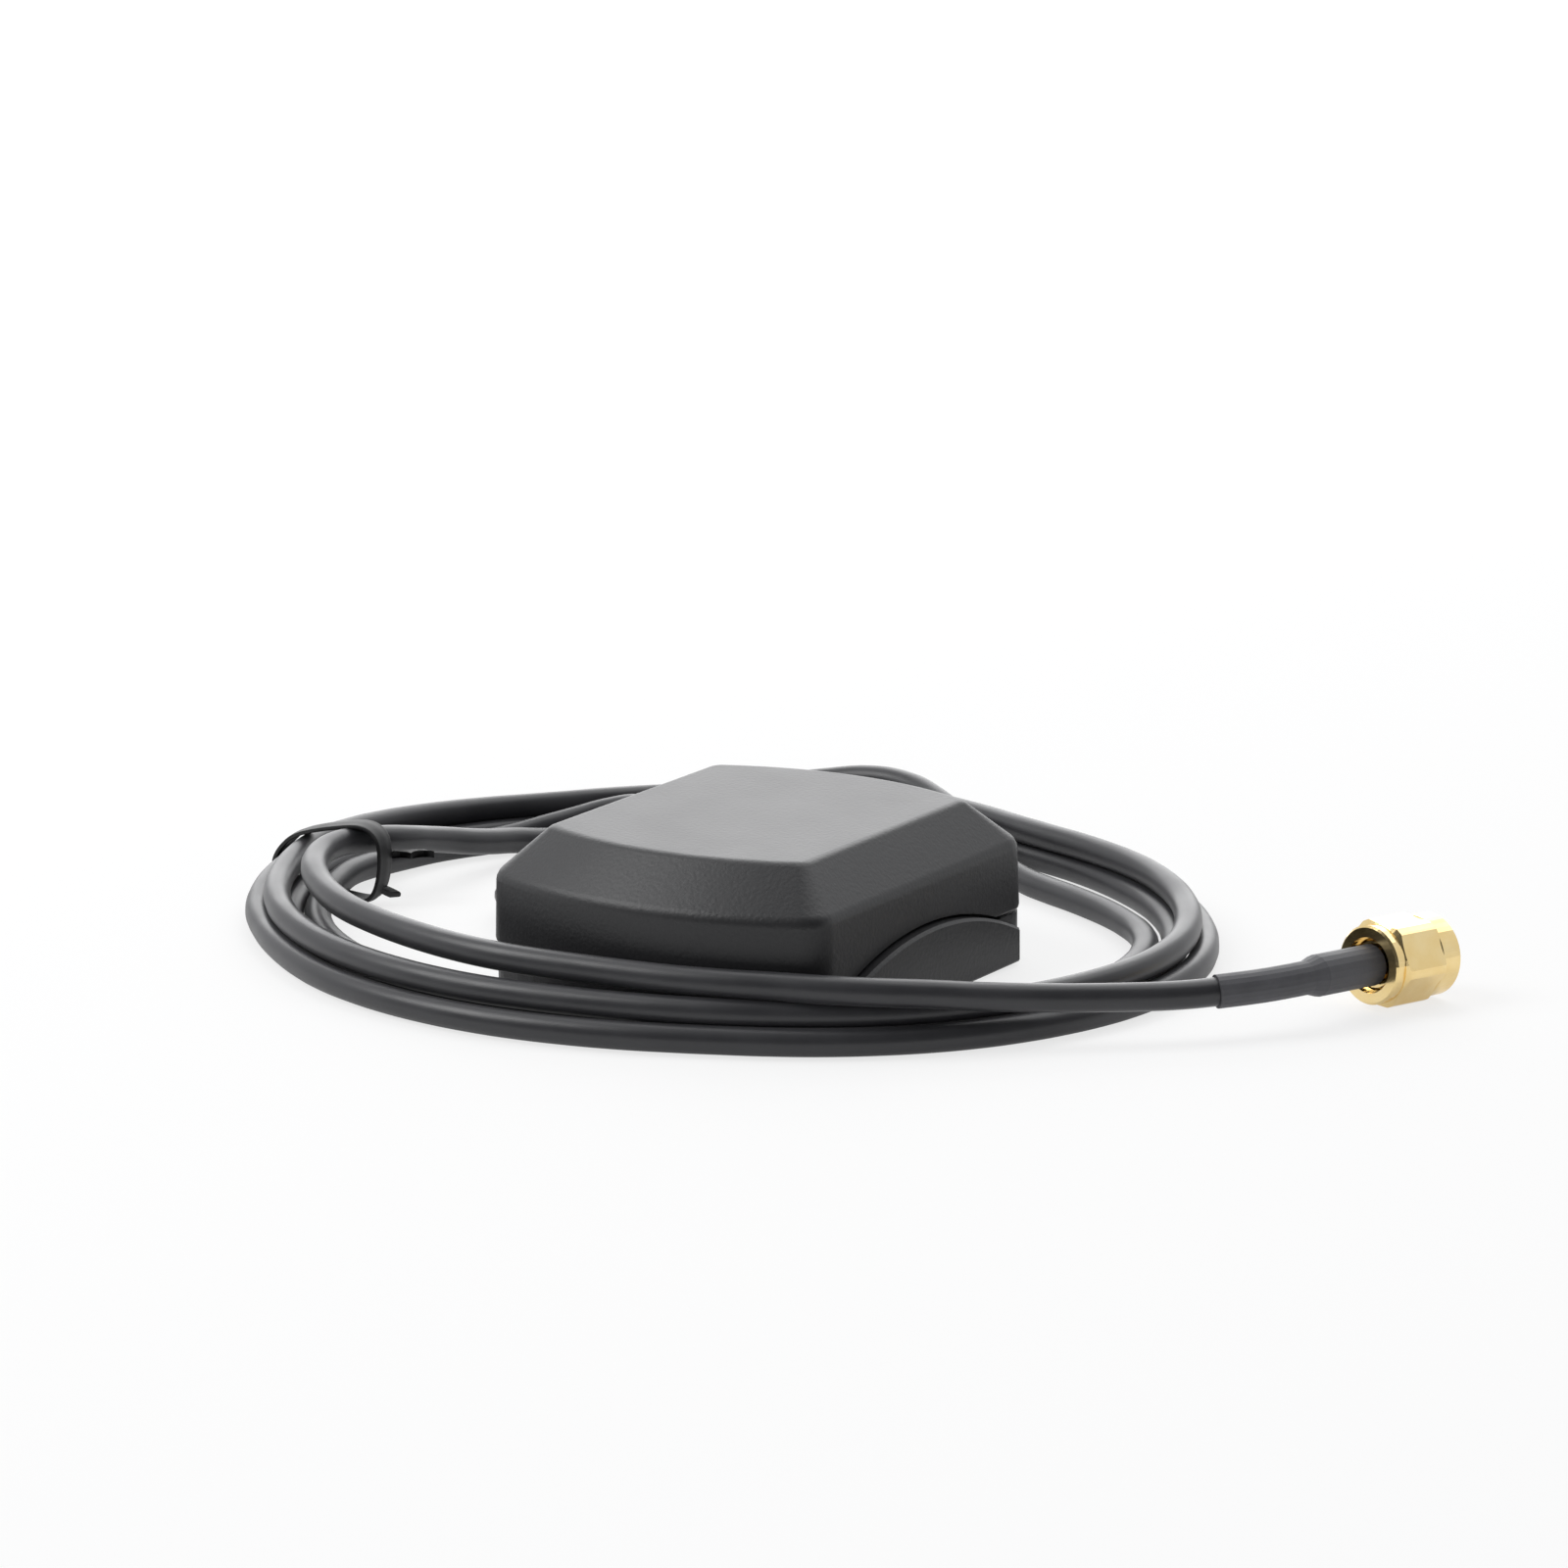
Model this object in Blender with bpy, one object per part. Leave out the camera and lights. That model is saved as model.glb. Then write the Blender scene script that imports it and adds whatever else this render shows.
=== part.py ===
"""Magnetic puck antenna for satellite positioning, with its coiled cable and screw-on coaxial plug.

Units are metres and +Z is up. The origin is the centre of the puck's underside, on the surface that the
antenna stands on. The cable leaves the puck at its -X end, lies in an oval bundle round the puck and ends
in a plug with a turning hexagon nut.
"""
import math
from collections import namedtuple

import bmesh
import bpy
from mathutils import Matrix, Vector

# Clearances
GAP = 0.0003                  # between two rigid pieces that touch
SEAL_GAP = 0.00015            # round the rubber seal in its groove
FILM_GAP = 0.0001             # round glued and plated layers

# Cover of the puck
COVER_HEIGHT = 0.0165         # surface to flat top
SHOULDER_HEIGHT = 0.0120      # where the wall turns into the chamfer
COVER_FOOT_HEIGHT = 0.0052    # lower edge of the cover
WALL_HALF_WIDTH = 0.0193      # X, at the shoulder
WALL_HALF_LENGTH = 0.0233     # Y, at the middle of the bowed side
WALL_BOW = 0.0045
WALL_CORNER = 0.0035
WALL_DRAFT = 0.0002           # the wall stands out by this much more at its foot
TOP_HALF_WIDTH = 0.0149
TOP_HALF_LENGTH = 0.0181
TOP_BOW = 0.0034
TOP_CORNER = 0.0015
COVER_WALL = 0.0016
TOP_FILLET = 0.0005
SHOULDER_FILLET = 0.0007
FOOT_FILLET = 0.0003

# Base of the puck
BASE_BOTTOM_HEIGHT = 0.0002
BASE_INSET = 0.0002           # base side inside the cover's side
BASE_CHAMFER = 0.0004
BASE_FLOOR_HEIGHT = 0.0023
LIP_TOP_HEIGHT = 0.0090
LIP_WALL = 0.0014
TONGUE_FACE = 0.0205          # X of the arched tongue's outer face
TONGUE_HALF_SPAN = 0.0163
TONGUE_ARCH_RADIUS = 0.0370
TONGUE_TOP_HEIGHT = 0.00745
TONGUE_CHAMFER = 0.0003

# Rubber seal round the lip
SEAL_GROOVE_HEIGHT = 0.0077   # lower side of the groove
SEAL_GROOVE_WIDTH = 0.0009
SEAL_GROOVE_DEPTH = 0.0006
SEAL_PROUD = 0.0001           # how far the seal stands out of its groove

# Screws through the base into the cover's bosses
SCREW_X = 0.0090
SCREW_FROM_SIDE = 0.0071      # centre of a screw inside the bowed side
SCREW_SHANK_RADIUS = 0.0008
SCREW_HEAD_RADIUS = 0.0017
SCREW_HEAD_HEIGHT = 0.0012
SCREW_HEAD_FACE_RADIUS = 0.00136   # flat of the head inside its rounded edge
SCREW_HEAD_EDGE = 0.0004
SCREW_HEAD_RECESS = 0.0018    # depth of the sunk hole for the head
SCREW_LENGTH = 0.0088         # under the head
BOSS_RADIUS = 0.0020
PILLAR_RADIUS = 0.0025
PILLAR_TOP_HEIGHT = 0.0055
BOSS_ROOF_OVERLAP = 0.0002

# Pad and magnet under the puck
PAD_HALF_WIDTH = 0.0160
PAD_TO_SCREW = 0.0012         # between the pad's recess and a screw's
PAD_CORNER = 0.0025
PAD_THICKNESS = 0.0008
MAGNET_RADIUS = 0.0100
MAGNET_THICKNESS = 0.0020
MAGNET_EDGE = 0.0002
MAGNET_POCKET_WALL = 0.0010

# Circuit board and what it carries
BOARD_HALF_WIDTH = 0.0148
BOARD_TO_BOSS = 0.0006        # between the board's edge and the screw bosses
BOARD_THICKNESS = 0.0010
BOARD_CORNER = 0.0010
SHIELD_HALF_WIDTH = 0.0095
SHIELD_TO_RAIL = 0.0023
SHIELD_HEIGHT = 0.0024
SHIELD_WALL = 0.0004
RAIL_FROM_BOARD_EDGE = 0.0012
RAIL_HALF_THICKNESS = 0.0006
RAIL_HALF_LENGTH = 0.0105
CHIP_SIDE = 0.0030
CHIP_HEIGHT = 0.0009
CHIP_X = -0.0038
FILTER_LENGTH = 0.0038
FILTER_WIDTH = 0.0030
FILTER_HEIGHT = 0.0012
FILTER_X = 0.0045
CAPACITOR_LENGTH = 0.0010
CAPACITOR_WIDTH = 0.0005
CAPACITOR_HEIGHT = 0.0005
CAPACITOR_ROW_Y = 0.0045
CAPACITOR_PITCH = 0.0030
CAPACITORS_IN_ROW = 3

# Ceramic patch
ADHESIVE_THICKNESS = 0.0003
ADHESIVE_MARGIN = 0.0005      # the glue ends this far inside the patch
PATCH_SIDE_MARGIN = 0.0023    # the patch ends this far inside the board, in X
PATCH_END_MARGIN = 0.0011     # and this far in Y
PATCH_ROOM_ABOVE = 0.0012     # from the feed pin's head to the cover's roof
PATCH_EDGE_CHAMFER = 0.0004
ELECTRODE_MARGIN = 0.0020
ELECTRODE_CLIP = 0.0018       # the two clipped corners that make it circularly polarised
ELECTRODE_THICKNESS = 0.0002
FEED_Y = -0.0028
FEED_PIN_RADIUS = 0.0004
FEED_HEAD_RADIUS = 0.0010
FEED_HEAD_HEIGHT = 0.0004
FEED_PIN_BELOW_BOARD = 0.0008

# Cable
CABLE_RADIUS = 0.0014
CABLE_REST_HEIGHT = 0.00145   # centre of a strand that lies on the surface
CABLE_EXIT_HEIGHT = 0.0040
JACKET_INNER_END_X = -0.0158
BRAID_RADIUS = 0.0011
BRAID_LENGTH = 0.0010
CORE_RADIUS = 0.0005
CORE_SOLDER_X = -0.0125
GROMMET_NECK_RADIUS = 0.0022
GROMMET_COLLAR_RADIUS = 0.0028
GROMMET_COLLAR_WIDTH = 0.0008
GROMMET_NOSE_RADIUS = 0.0021
GROMMET_NOSE_LENGTH = 0.0020

# Cable bundle: an oval ring between two ellipses, pinched where the tie holds it
COIL_OUTER_CENTRE = (-0.0110, 0.0110)
COIL_OUTER_SEMI = (0.0526, 0.0448)
COIL_INNER_CENTRE = (-0.0088, 0.0085)
COIL_INNER_SEMI = (0.0435, 0.0372)
COIL_BOTTOM = 0.00005
COIL_HEIGHT = 0.0082
COIL_CORNER = 0.0014
COIL_STEPS = 96
TIE_ANGLE = math.radians(187.5)
TIE_PINCH_HALF_ANGLE = 0.08
TIE_PINCH_FADE_ANGLE = 0.30
TIE_PINCH_SIDE = 0.0006       # how far the tie pulls each side of the bundle in

# Twist tie
TIE_THICKNESS = 0.0008
TIE_WIDTH = 0.0025
TIE_LIFT = 0.00005
TIE_TAIL_SIDE = 0.0011
TIE_TAIL_LENGTH = 0.0052
TIE_TAIL_TURNS = 1.5
TIE_TAIL_STEPS = 18
TIE_TAIL_LEAN = 0.9            # how far the twisted ends lean back along the bundle
TIE_TAIL_RISE = 0.1

# Routes of the free stretches, chosen by hand
LEAD_ROUTE = [
    (-0.0262, 0.0000, 0.0039), (-0.0295, 0.0006, 0.0036), (-0.0324, 0.0023, 0.0030), (-0.0346, 0.0050, 0.0024),
    (-0.0357, 0.0083, 0.0019), (-0.0357, 0.0117, 0.0016), (-0.0346, 0.0149, CABLE_REST_HEIGHT),
    (-0.0327, 0.0173, CABLE_REST_HEIGHT), (-0.0306, 0.0195, CABLE_REST_HEIGHT),
    (-0.0295, 0.0226, CABLE_REST_HEIGHT), (-0.0295, 0.0260, 0.0016), (-0.0306, 0.0293, 0.0020),
    (-0.0329, 0.0320, 0.0029), (-0.0359, 0.0337, 0.0038), (-0.0377, 0.0341, 0.0042),
]
TAIL_ROUTE = [
    (0.0390, -0.0074, 0.0048), (0.0414, -0.0057, 0.00475), (0.0440, -0.0037, 0.0047),
    (0.0465, -0.0016, 0.00465), (0.0487, 0.0005, 0.00465),
]
ROUTE_SPACING = 0.0035

# Plug: its axis starts at the centre of the nut's rear face
PLUG_ORIGIN = (0.0582, 0.0185, 0.00458)
PLUG_HEADING = math.radians(75.0)
PLUG_PITCH = math.radians(-3.0)

# Shrink sleeve, from the cable to just inside the nut
SLEEVE_ROUTE = [
    (0.0504, 0.0024, 0.0047), (0.0522, 0.0044, 0.0048), (0.0538, 0.0064, 0.0049), (0.0551, 0.0084, 0.0050),
]
SLEEVE_REAR_RADIUS = 0.00165
SLEEVE_FRONT_RADIUS = 0.00205
SLEEVE_WALL = 0.0003
SLEEVE_STEP_START = -0.0088   # where it widens, along the plug's axis
SLEEVE_STEP_END = -0.0074
SLEEVE_FRONT = 0.0004
SLEEVE_SIDES = 20
SLEEVE_SPACING = 0.0012       # between its sections along the bend

# Crimp ferrule and body
FERRULE_RADIUS = 0.00152
FERRULE_WALL = 0.0003
FERRULE_LENGTH = 0.0062
FERRULE_FRONT = -0.0004
SPIGOT_RADIUS = 0.0009
BODY_RADIUS = 0.0023
BODY_FLANGE_RADIUS = 0.0028
BODY_NOSE_RADIUS = 0.0025
BODY_REAR = 0.0008
BODY_GROOVE_REAR = 0.0028
BODY_GROOVE_FRONT = 0.0036
BODY_GROOVE_RADIUS = 0.0019
BODY_FLANGE_FRONT = 0.0045
BODY_FRONT = 0.0054           # the plane that meets the socket
BODY_CUP_RADIUS = 0.0021
BODY_CUP_REAR = 0.0020
PIN_RADIUS = 0.00046
PIN_PROUD = 0.0019
PIN_REAR = -0.0040
PIN_TIP_LENGTH = 0.0004

# Coupling nut
NUT_LENGTH = 0.0090
NUT_ACROSS_FLATS = 0.0080
NUT_BAR_RADIUS = 0.0044       # of the round bar that the hexagon is cut from
NUT_REAR_COLLAR_RADIUS = 0.0039
NUT_FRONT_COLLAR_RADIUS = 0.0041
NUT_HEX_REAR = 0.0012
NUT_HEX_FRONT = 0.0066
NUT_END_CHAMFER = 0.0002
NUT_CORNER_SLOPE = 0.5        # rise of the corner chamfer, as a share of its width
NUT_TURN = math.radians(5.0)  # as it lies in the photograph
NUT_REAR_BORE_RADIUS = 0.00275
NUT_REAR_BORE_DEPTH = 0.0010
NUT_LIP_FRONT = 0.0024
NUT_MOUTH_RADIUS = 0.0031
NUT_MOUTH_CHAMFER = 0.0003
RING_SECTION = 0.0005         # thickness of the snap ring along the axis

# Facets
ROUND_SEGMENTS = 32
SMALL_SEGMENTS = 16
CORNER_STEPS = 6
BOW_STEPS = 14
TONGUE_STEPS = 24
SMALLEST_CORNER = 0.0002
NUT_SEGMENTS = 48
ROUTE_STEPS = 20              # between two points of a route

# Values that follow from the ones above
BASE_TOP_HEIGHT = COVER_FOOT_HEIGHT - GAP
COVER_ROOF_HEIGHT = COVER_HEIGHT - COVER_WALL
SCREW_Y = WALL_HALF_LENGTH - SCREW_FROM_SIDE
PAD_HALF_LENGTH = SCREW_Y - SCREW_HEAD_RADIUS - GAP - PAD_TO_SCREW
BOARD_HALF_LENGTH = SCREW_Y - BOSS_RADIUS - BOARD_TO_BOSS
RAIL_Y = BOARD_HALF_LENGTH - RAIL_FROM_BOARD_EDGE
SHIELD_HALF_LENGTH = RAIL_Y - RAIL_HALF_THICKNESS - SHIELD_TO_RAIL
PATCH_HALF_WIDTH = BOARD_HALF_WIDTH - PATCH_SIDE_MARGIN
PATCH_HALF_LENGTH = BOARD_HALF_LENGTH - PATCH_END_MARGIN
ADHESIVE_HALF_WIDTH = PATCH_HALF_WIDTH - ADHESIVE_MARGIN
ADHESIVE_HALF_LENGTH = PATCH_HALF_LENGTH - ADHESIVE_MARGIN
ELECTRODE_HALF_WIDTH = PATCH_HALF_WIDTH - ELECTRODE_MARGIN
ELECTRODE_HALF_LENGTH = PATCH_HALF_LENGTH - ELECTRODE_MARGIN
BOSS_BOTTOM_HEIGHT = PILLAR_TOP_HEIGHT + GAP
PAD_RECESS_HEIGHT = PAD_THICKNESS + GAP
MAGNET_ROOF_HEIGHT = PAD_RECESS_HEIGHT + MAGNET_THICKNESS + GAP
MAGNET_BOSS_HEIGHT = MAGNET_ROOF_HEIGHT + MAGNET_POCKET_WALL
MAGNET_BOSS_RADIUS = MAGNET_RADIUS + GAP + MAGNET_POCKET_WALL
SHIELD_BOTTOM_HEIGHT = MAGNET_BOSS_HEIGHT + GAP
SHIELD_TOP_HEIGHT = SHIELD_BOTTOM_HEIGHT + SHIELD_HEIGHT
BOARD_BOTTOM_HEIGHT = SHIELD_TOP_HEIGHT + GAP
BOARD_TOP_HEIGHT = BOARD_BOTTOM_HEIGHT + BOARD_THICKNESS
ADHESIVE_BOTTOM_HEIGHT = BOARD_TOP_HEIGHT + FILM_GAP
PATCH_BOTTOM_HEIGHT = ADHESIVE_BOTTOM_HEIGHT + ADHESIVE_THICKNESS + FILM_GAP
FEED_SEAT_HEIGHT = COVER_ROOF_HEIGHT - PATCH_ROOM_ABOVE - FEED_HEAD_HEIGHT
ELECTRODE_TOP_HEIGHT = FEED_SEAT_HEIGHT - FILM_GAP
ELECTRODE_BOTTOM_HEIGHT = ELECTRODE_TOP_HEIGHT - ELECTRODE_THICKNESS
PATCH_TOP_HEIGHT = ELECTRODE_BOTTOM_HEIGHT - FILM_GAP
FEED_HOLE_RADIUS = FEED_PIN_RADIUS + GAP
SCREW_HEAD_ROOF_HEIGHT = BASE_BOTTOM_HEIGHT + SCREW_HEAD_RECESS
SCREW_HEAD_TOP_HEIGHT = SCREW_HEAD_ROOF_HEIGHT - GAP
SCREW_HOLE_RADIUS = SCREW_SHANK_RADIUS + GAP
SCREW_TIP_HEIGHT = SCREW_HEAD_TOP_HEIGHT + SCREW_LENGTH
GROMMET_REAR_X = -(TONGUE_FACE + GAP)
GROMMET_NOSE_X = GROMMET_REAR_X - GROMMET_COLLAR_WIDTH - GROMMET_NOSE_LENGTH
GROMMET_BORE_RADIUS = CABLE_RADIUS + GAP
FERRULE_REAR = FERRULE_FRONT - FERRULE_LENGTH
BODY_BORE_RADIUS = PIN_RADIUS + GAP / 2
NUT_LIP_RADIUS = BODY_RADIUS + GAP

Plan = namedtuple("Plan", "half_width half_length bow_radius corner")


def bowed_plan(half_width, half_length, bow, corner):
    """Plan of the puck: straight ends at +-X, bowed sides at +-Y and round corners."""
    bow_radius = (half_width ** 2 + bow ** 2) / (2 * bow)
    return Plan(half_width, half_length, bow_radius, corner)


def inset(plan, distance):
    """The plan drawn in by a distance all round."""
    corner = max(plan.corner - distance, SMALLEST_CORNER)
    return Plan(plan.half_width - distance, plan.half_length - distance, plan.bow_radius - distance, corner)


def blend(first, second, share):
    """A plan part of the way from the first to the second."""
    return Plan(*(a + (b - a) * share for a, b in zip(first, second)))


def outline(plan, height):
    """Points of a plan, anticlockwise, at a height."""
    bow_centre = plan.half_length - plan.bow_radius
    corner_x = plan.half_width - plan.corner
    reach = plan.bow_radius - plan.corner
    corner_y = bow_centre + math.sqrt(reach ** 2 - corner_x ** 2)
    turn = math.atan2(corner_y - bow_centre, corner_x)
    half = []
    for step in range(CORNER_STEPS + 1):
        angle = turn * step / CORNER_STEPS
        half.append((corner_x + plan.corner * math.cos(angle), corner_y + plan.corner * math.sin(angle)))
    for step in range(1, BOW_STEPS):
        angle = turn + (math.pi - 2 * turn) * step / BOW_STEPS
        half.append((plan.bow_radius * math.cos(angle), bow_centre + plan.bow_radius * math.sin(angle)))
    for step in range(CORNER_STEPS + 1):
        angle = math.pi - turn + turn * step / CORNER_STEPS
        half.append((plan.corner * math.cos(angle) - corner_x, corner_y + plan.corner * math.sin(angle)))
    both = half + [(-x, -y) for x, y in half]
    return [Vector((x, y, height)) for x, y in both]


def rounded_rectangle(half_width, half_length, corner, steps=4):
    """Corner-rounded rectangle as (x, y) pairs, anticlockwise."""
    points = []
    for quarter, (sign_x, sign_y) in enumerate(((1, 1), (-1, 1), (-1, -1), (1, -1))):
        for step in range(steps + 1):
            angle = math.pi / 2 * (quarter + step / steps)
            x = sign_x * (half_width - corner) + corner * math.cos(angle)
            y = sign_y * (half_length - corner) + corner * math.sin(angle)
            points.append((x, y))
    return points


def round_over(start, edge, end, steps=3):
    """Sections that round an edge: each is a (plan, height) pair on a curve from start to end."""
    sections = []
    for step in range(steps + 1):
        t = step / steps
        weights = ((1 - t) ** 2, 2 * t * (1 - t), t ** 2)
        values = []
        for parts in zip(*(list(plan) + [height] for plan, height in (start, edge, end))):
            values.append(sum(weight * part for weight, part in zip(weights, parts)))
        sections.append((Plan(*values[:-1]), values[-1]))
    return sections


def material(name, colour, roughness, metallic=0.0):
    """A Principled material with one colour."""
    made = bpy.data.materials.new(name)
    made.use_nodes = True
    shader = made.node_tree.nodes["Principled BSDF"]
    shader.inputs["Base Color"].default_value = (*colour, 1.0)
    shader.inputs["Roughness"].default_value = roughness
    shader.inputs["Metallic"].default_value = metallic
    return made


def add_mesh(name, mesh, surface=None, smooth_angle=None):
    """Puts a mesh into the scene as an object, shaded smooth up to an angle in degrees."""
    thing = bpy.data.objects.new(name, mesh)
    bpy.context.collection.objects.link(thing)
    if surface:
        mesh.materials.append(surface)
    if smooth_angle is not None:
        mesh.shade_smooth()
        mesh.set_sharp_from_angle(angle=math.radians(smooth_angle))
    return thing


def loft(name, rings, surface=None, cyclic=False, smooth_angle=30):
    """Skins a row of equal rings. It is capped at both ends, or joined end to end where cyclic."""
    shape = bmesh.new()
    rows = [[shape.verts.new(point) for point in ring] for ring in rings]
    count = len(rows[0])
    pairs = list(zip(rows, rows[1:]))
    if cyclic:
        pairs.append((rows[-1], rows[0]))
    for lower, upper in pairs:
        for index in range(count):
            after = (index + 1) % count
            shape.faces.new((lower[index], lower[after], upper[after], upper[index]))
    if not cyclic:
        shape.faces.new(reversed(rows[0]))
        shape.faces.new(rows[-1])
    bmesh.ops.recalc_face_normals(shape, faces=shape.faces)
    mesh = bpy.data.meshes.new(name)
    shape.to_mesh(mesh)
    shape.free()
    return add_mesh(name, mesh, surface, smooth_angle)


def turned(name, profile, surface=None, segments=ROUND_SEGMENTS, closed=False, smooth_angle=30):
    """Spins a profile of (radius, height) pairs about Z. A closed profile makes a ring."""
    shape = bmesh.new()
    points = [shape.verts.new((radius, 0.0, height)) for radius, height in profile]
    edges = [shape.edges.new(pair) for pair in zip(points, points[1:])]
    if closed:
        edges.append(shape.edges.new((points[-1], points[0])))
    bmesh.ops.spin(shape, geom=points + edges, axis=(0, 0, 1), cent=(0, 0, 0), angle=2 * math.pi,
                   steps=segments, use_merge=True)
    bmesh.ops.remove_doubles(shape, verts=shape.verts, dist=1e-6)
    bmesh.ops.recalc_face_normals(shape, faces=shape.faces)
    mesh = bpy.data.meshes.new(name)
    shape.to_mesh(mesh)
    shape.free()
    return add_mesh(name, mesh, surface, smooth_angle)


def block(name, low, high, surface=None, bevel=0.0):
    """A box between two corners, with an optional bevel."""
    shape = bmesh.new()
    size = Vector(high) - Vector(low)
    middle = (Vector(high) + Vector(low)) / 2
    bmesh.ops.create_cube(shape, size=1.0, matrix=Matrix.Translation(middle) @ Matrix.Diagonal((*size, 1.0)))
    if bevel:
        bmesh.ops.bevel(shape, geom=shape.edges[:], offset=bevel, segments=1, affect="EDGES")
    mesh = bpy.data.meshes.new(name)
    shape.to_mesh(mesh)
    shape.free()
    return add_mesh(name, mesh, surface)


def merged(name, things, surface=None, smooth_angle=None):
    """One object that holds the bodies of several."""
    shape = bmesh.new()
    for thing in things:
        own = thing.data.copy()
        own.transform(thing.matrix_basis)
        shape.from_mesh(own)
        bpy.data.meshes.remove(own)
        bpy.data.objects.remove(thing)
    mesh = bpy.data.meshes.new(name)
    shape.to_mesh(mesh)
    shape.free()
    return add_mesh(name, mesh, surface, smooth_angle)


def boolean(target, other, operation):
    """Joins the other object to the target, cuts it out or keeps what both share."""
    modifier = target.modifiers.new(f"{operation.lower()} {other.name}", "BOOLEAN")
    modifier.operation = operation
    modifier.object = other
    modifier.solver = "EXACT"
    other.hide_render = True
    other.display_type = "WIRE"


def cylinder(name, radius, low, high, x=0.0, y=0.0, segments=SMALL_SEGMENTS):
    """An upright cylinder between two heights."""
    thing = turned(name, [(0.0, low), (radius, low), (radius, high), (0.0, high)], segments=segments)
    thing.location = (x, y, 0.0)
    return thing


def screw_places():
    """Centres of the four screws."""
    return [(x, y) for x in (-SCREW_X, SCREW_X) for y in (-SCREW_Y, SCREW_Y)]


def tongue_section(x, growth=0.0, bottom=BASE_BOTTOM_HEIGHT):
    """Outline of the arched tongue at one X, grown by a distance."""
    arch_centre = TONGUE_TOP_HEIGHT - TONGUE_ARCH_RADIUS
    radius = TONGUE_ARCH_RADIUS + growth
    half_span = TONGUE_HALF_SPAN + growth
    turn = math.asin(half_span / radius)
    points = [Vector((x, -half_span, bottom)), Vector((x, half_span, bottom))]
    for step in range(TONGUE_STEPS + 1):
        angle = turn - 2 * turn * step / TONGUE_STEPS
        points.append(Vector((x, radius * math.sin(angle), arch_centre + radius * math.cos(angle))))
    return points


def make_cover(plastic):
    """Moulded cover: a shell with bowed sides, a broad chamfer and an arch at each end."""
    wall = bowed_plan(WALL_HALF_WIDTH, WALL_HALF_LENGTH, WALL_BOW, WALL_CORNER)
    foot = inset(wall, -WALL_DRAFT)
    top = bowed_plan(TOP_HALF_WIDTH, TOP_HALF_LENGTH, TOP_BOW, TOP_CORNER)
    slope = math.atan2(WALL_HALF_WIDTH - TOP_HALF_WIDTH, COVER_HEIGHT - SHOULDER_HEIGHT)
    slope_length = math.hypot(WALL_HALF_WIDTH - TOP_HALF_WIDTH, COVER_HEIGHT - SHOULDER_HEIGHT)
    rise = COVER_HEIGHT - SHOULDER_HEIGHT
    wall_height = SHOULDER_HEIGHT - COVER_FOOT_HEIGHT

    # Inside of the shell, from the roof down, kept one wall thickness from the outside
    roof = inset(top, COVER_WALL * (1 / math.cos(slope) - math.tan(slope)))
    inner_shoulder_height = SHOULDER_HEIGHT - COVER_WALL * (1 / math.cos(slope) - 1) / math.tan(slope)
    sections = [(roof, COVER_ROOF_HEIGHT), (inset(wall, COVER_WALL), inner_shoulder_height)]
    sections.append((inset(foot, COVER_WALL), COVER_FOOT_HEIGHT))

    # Outside of the shell, from the foot up
    foot_share = FOOT_FILLET / wall_height
    start = (inset(foot, FOOT_FILLET), COVER_FOOT_HEIGHT)
    sections += round_over(start, (foot, COVER_FOOT_HEIGHT),
                           (blend(foot, wall, foot_share), COVER_FOOT_HEIGHT + FOOT_FILLET), 2)
    below = SHOULDER_FILLET / wall_height
    above = SHOULDER_FILLET / slope_length
    sections += round_over((blend(wall, foot, below), SHOULDER_HEIGHT - SHOULDER_FILLET), (wall, SHOULDER_HEIGHT),
                           (blend(wall, top, above), SHOULDER_HEIGHT + rise * above))
    before = TOP_FILLET / slope_length
    sections += round_over((blend(top, wall, before), COVER_HEIGHT - rise * before), (top, COVER_HEIGHT),
                           (inset(top, TOP_FILLET), COVER_HEIGHT))
    cover = loft("top_cover", [outline(plan, height) for plan, height in sections], plastic, smooth_angle=24)

    bosses = []
    pilots = []
    for x, y in screw_places():
        bosses.append(cylinder("boss", BOSS_RADIUS, BOSS_BOTTOM_HEIGHT, COVER_ROOF_HEIGHT + BOSS_ROOF_OVERLAP, x, y))
        pilots.append(cylinder("pilot", SCREW_HOLE_RADIUS, BOSS_BOTTOM_HEIGHT - GAP, SCREW_TIP_HEIGHT + GAP, x, y))
    boolean(cover, merged("cover_bosses", bosses), "UNION")
    boolean(cover, merged("cover_pilot_holes", pilots), "DIFFERENCE")

    arches = []
    for side in (-1, 1):
        near = side * (WALL_HALF_WIDTH - COVER_WALL - 2 * GAP)
        far = side * (TONGUE_FACE + GAP)
        rings = [tongue_section(x, GAP, -GAP) for x in (near, far)]
        arches.append(loft("arch", rings))
    boolean(cover, merged("cover_arches", arches), "DIFFERENCE")
    return cover


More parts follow.
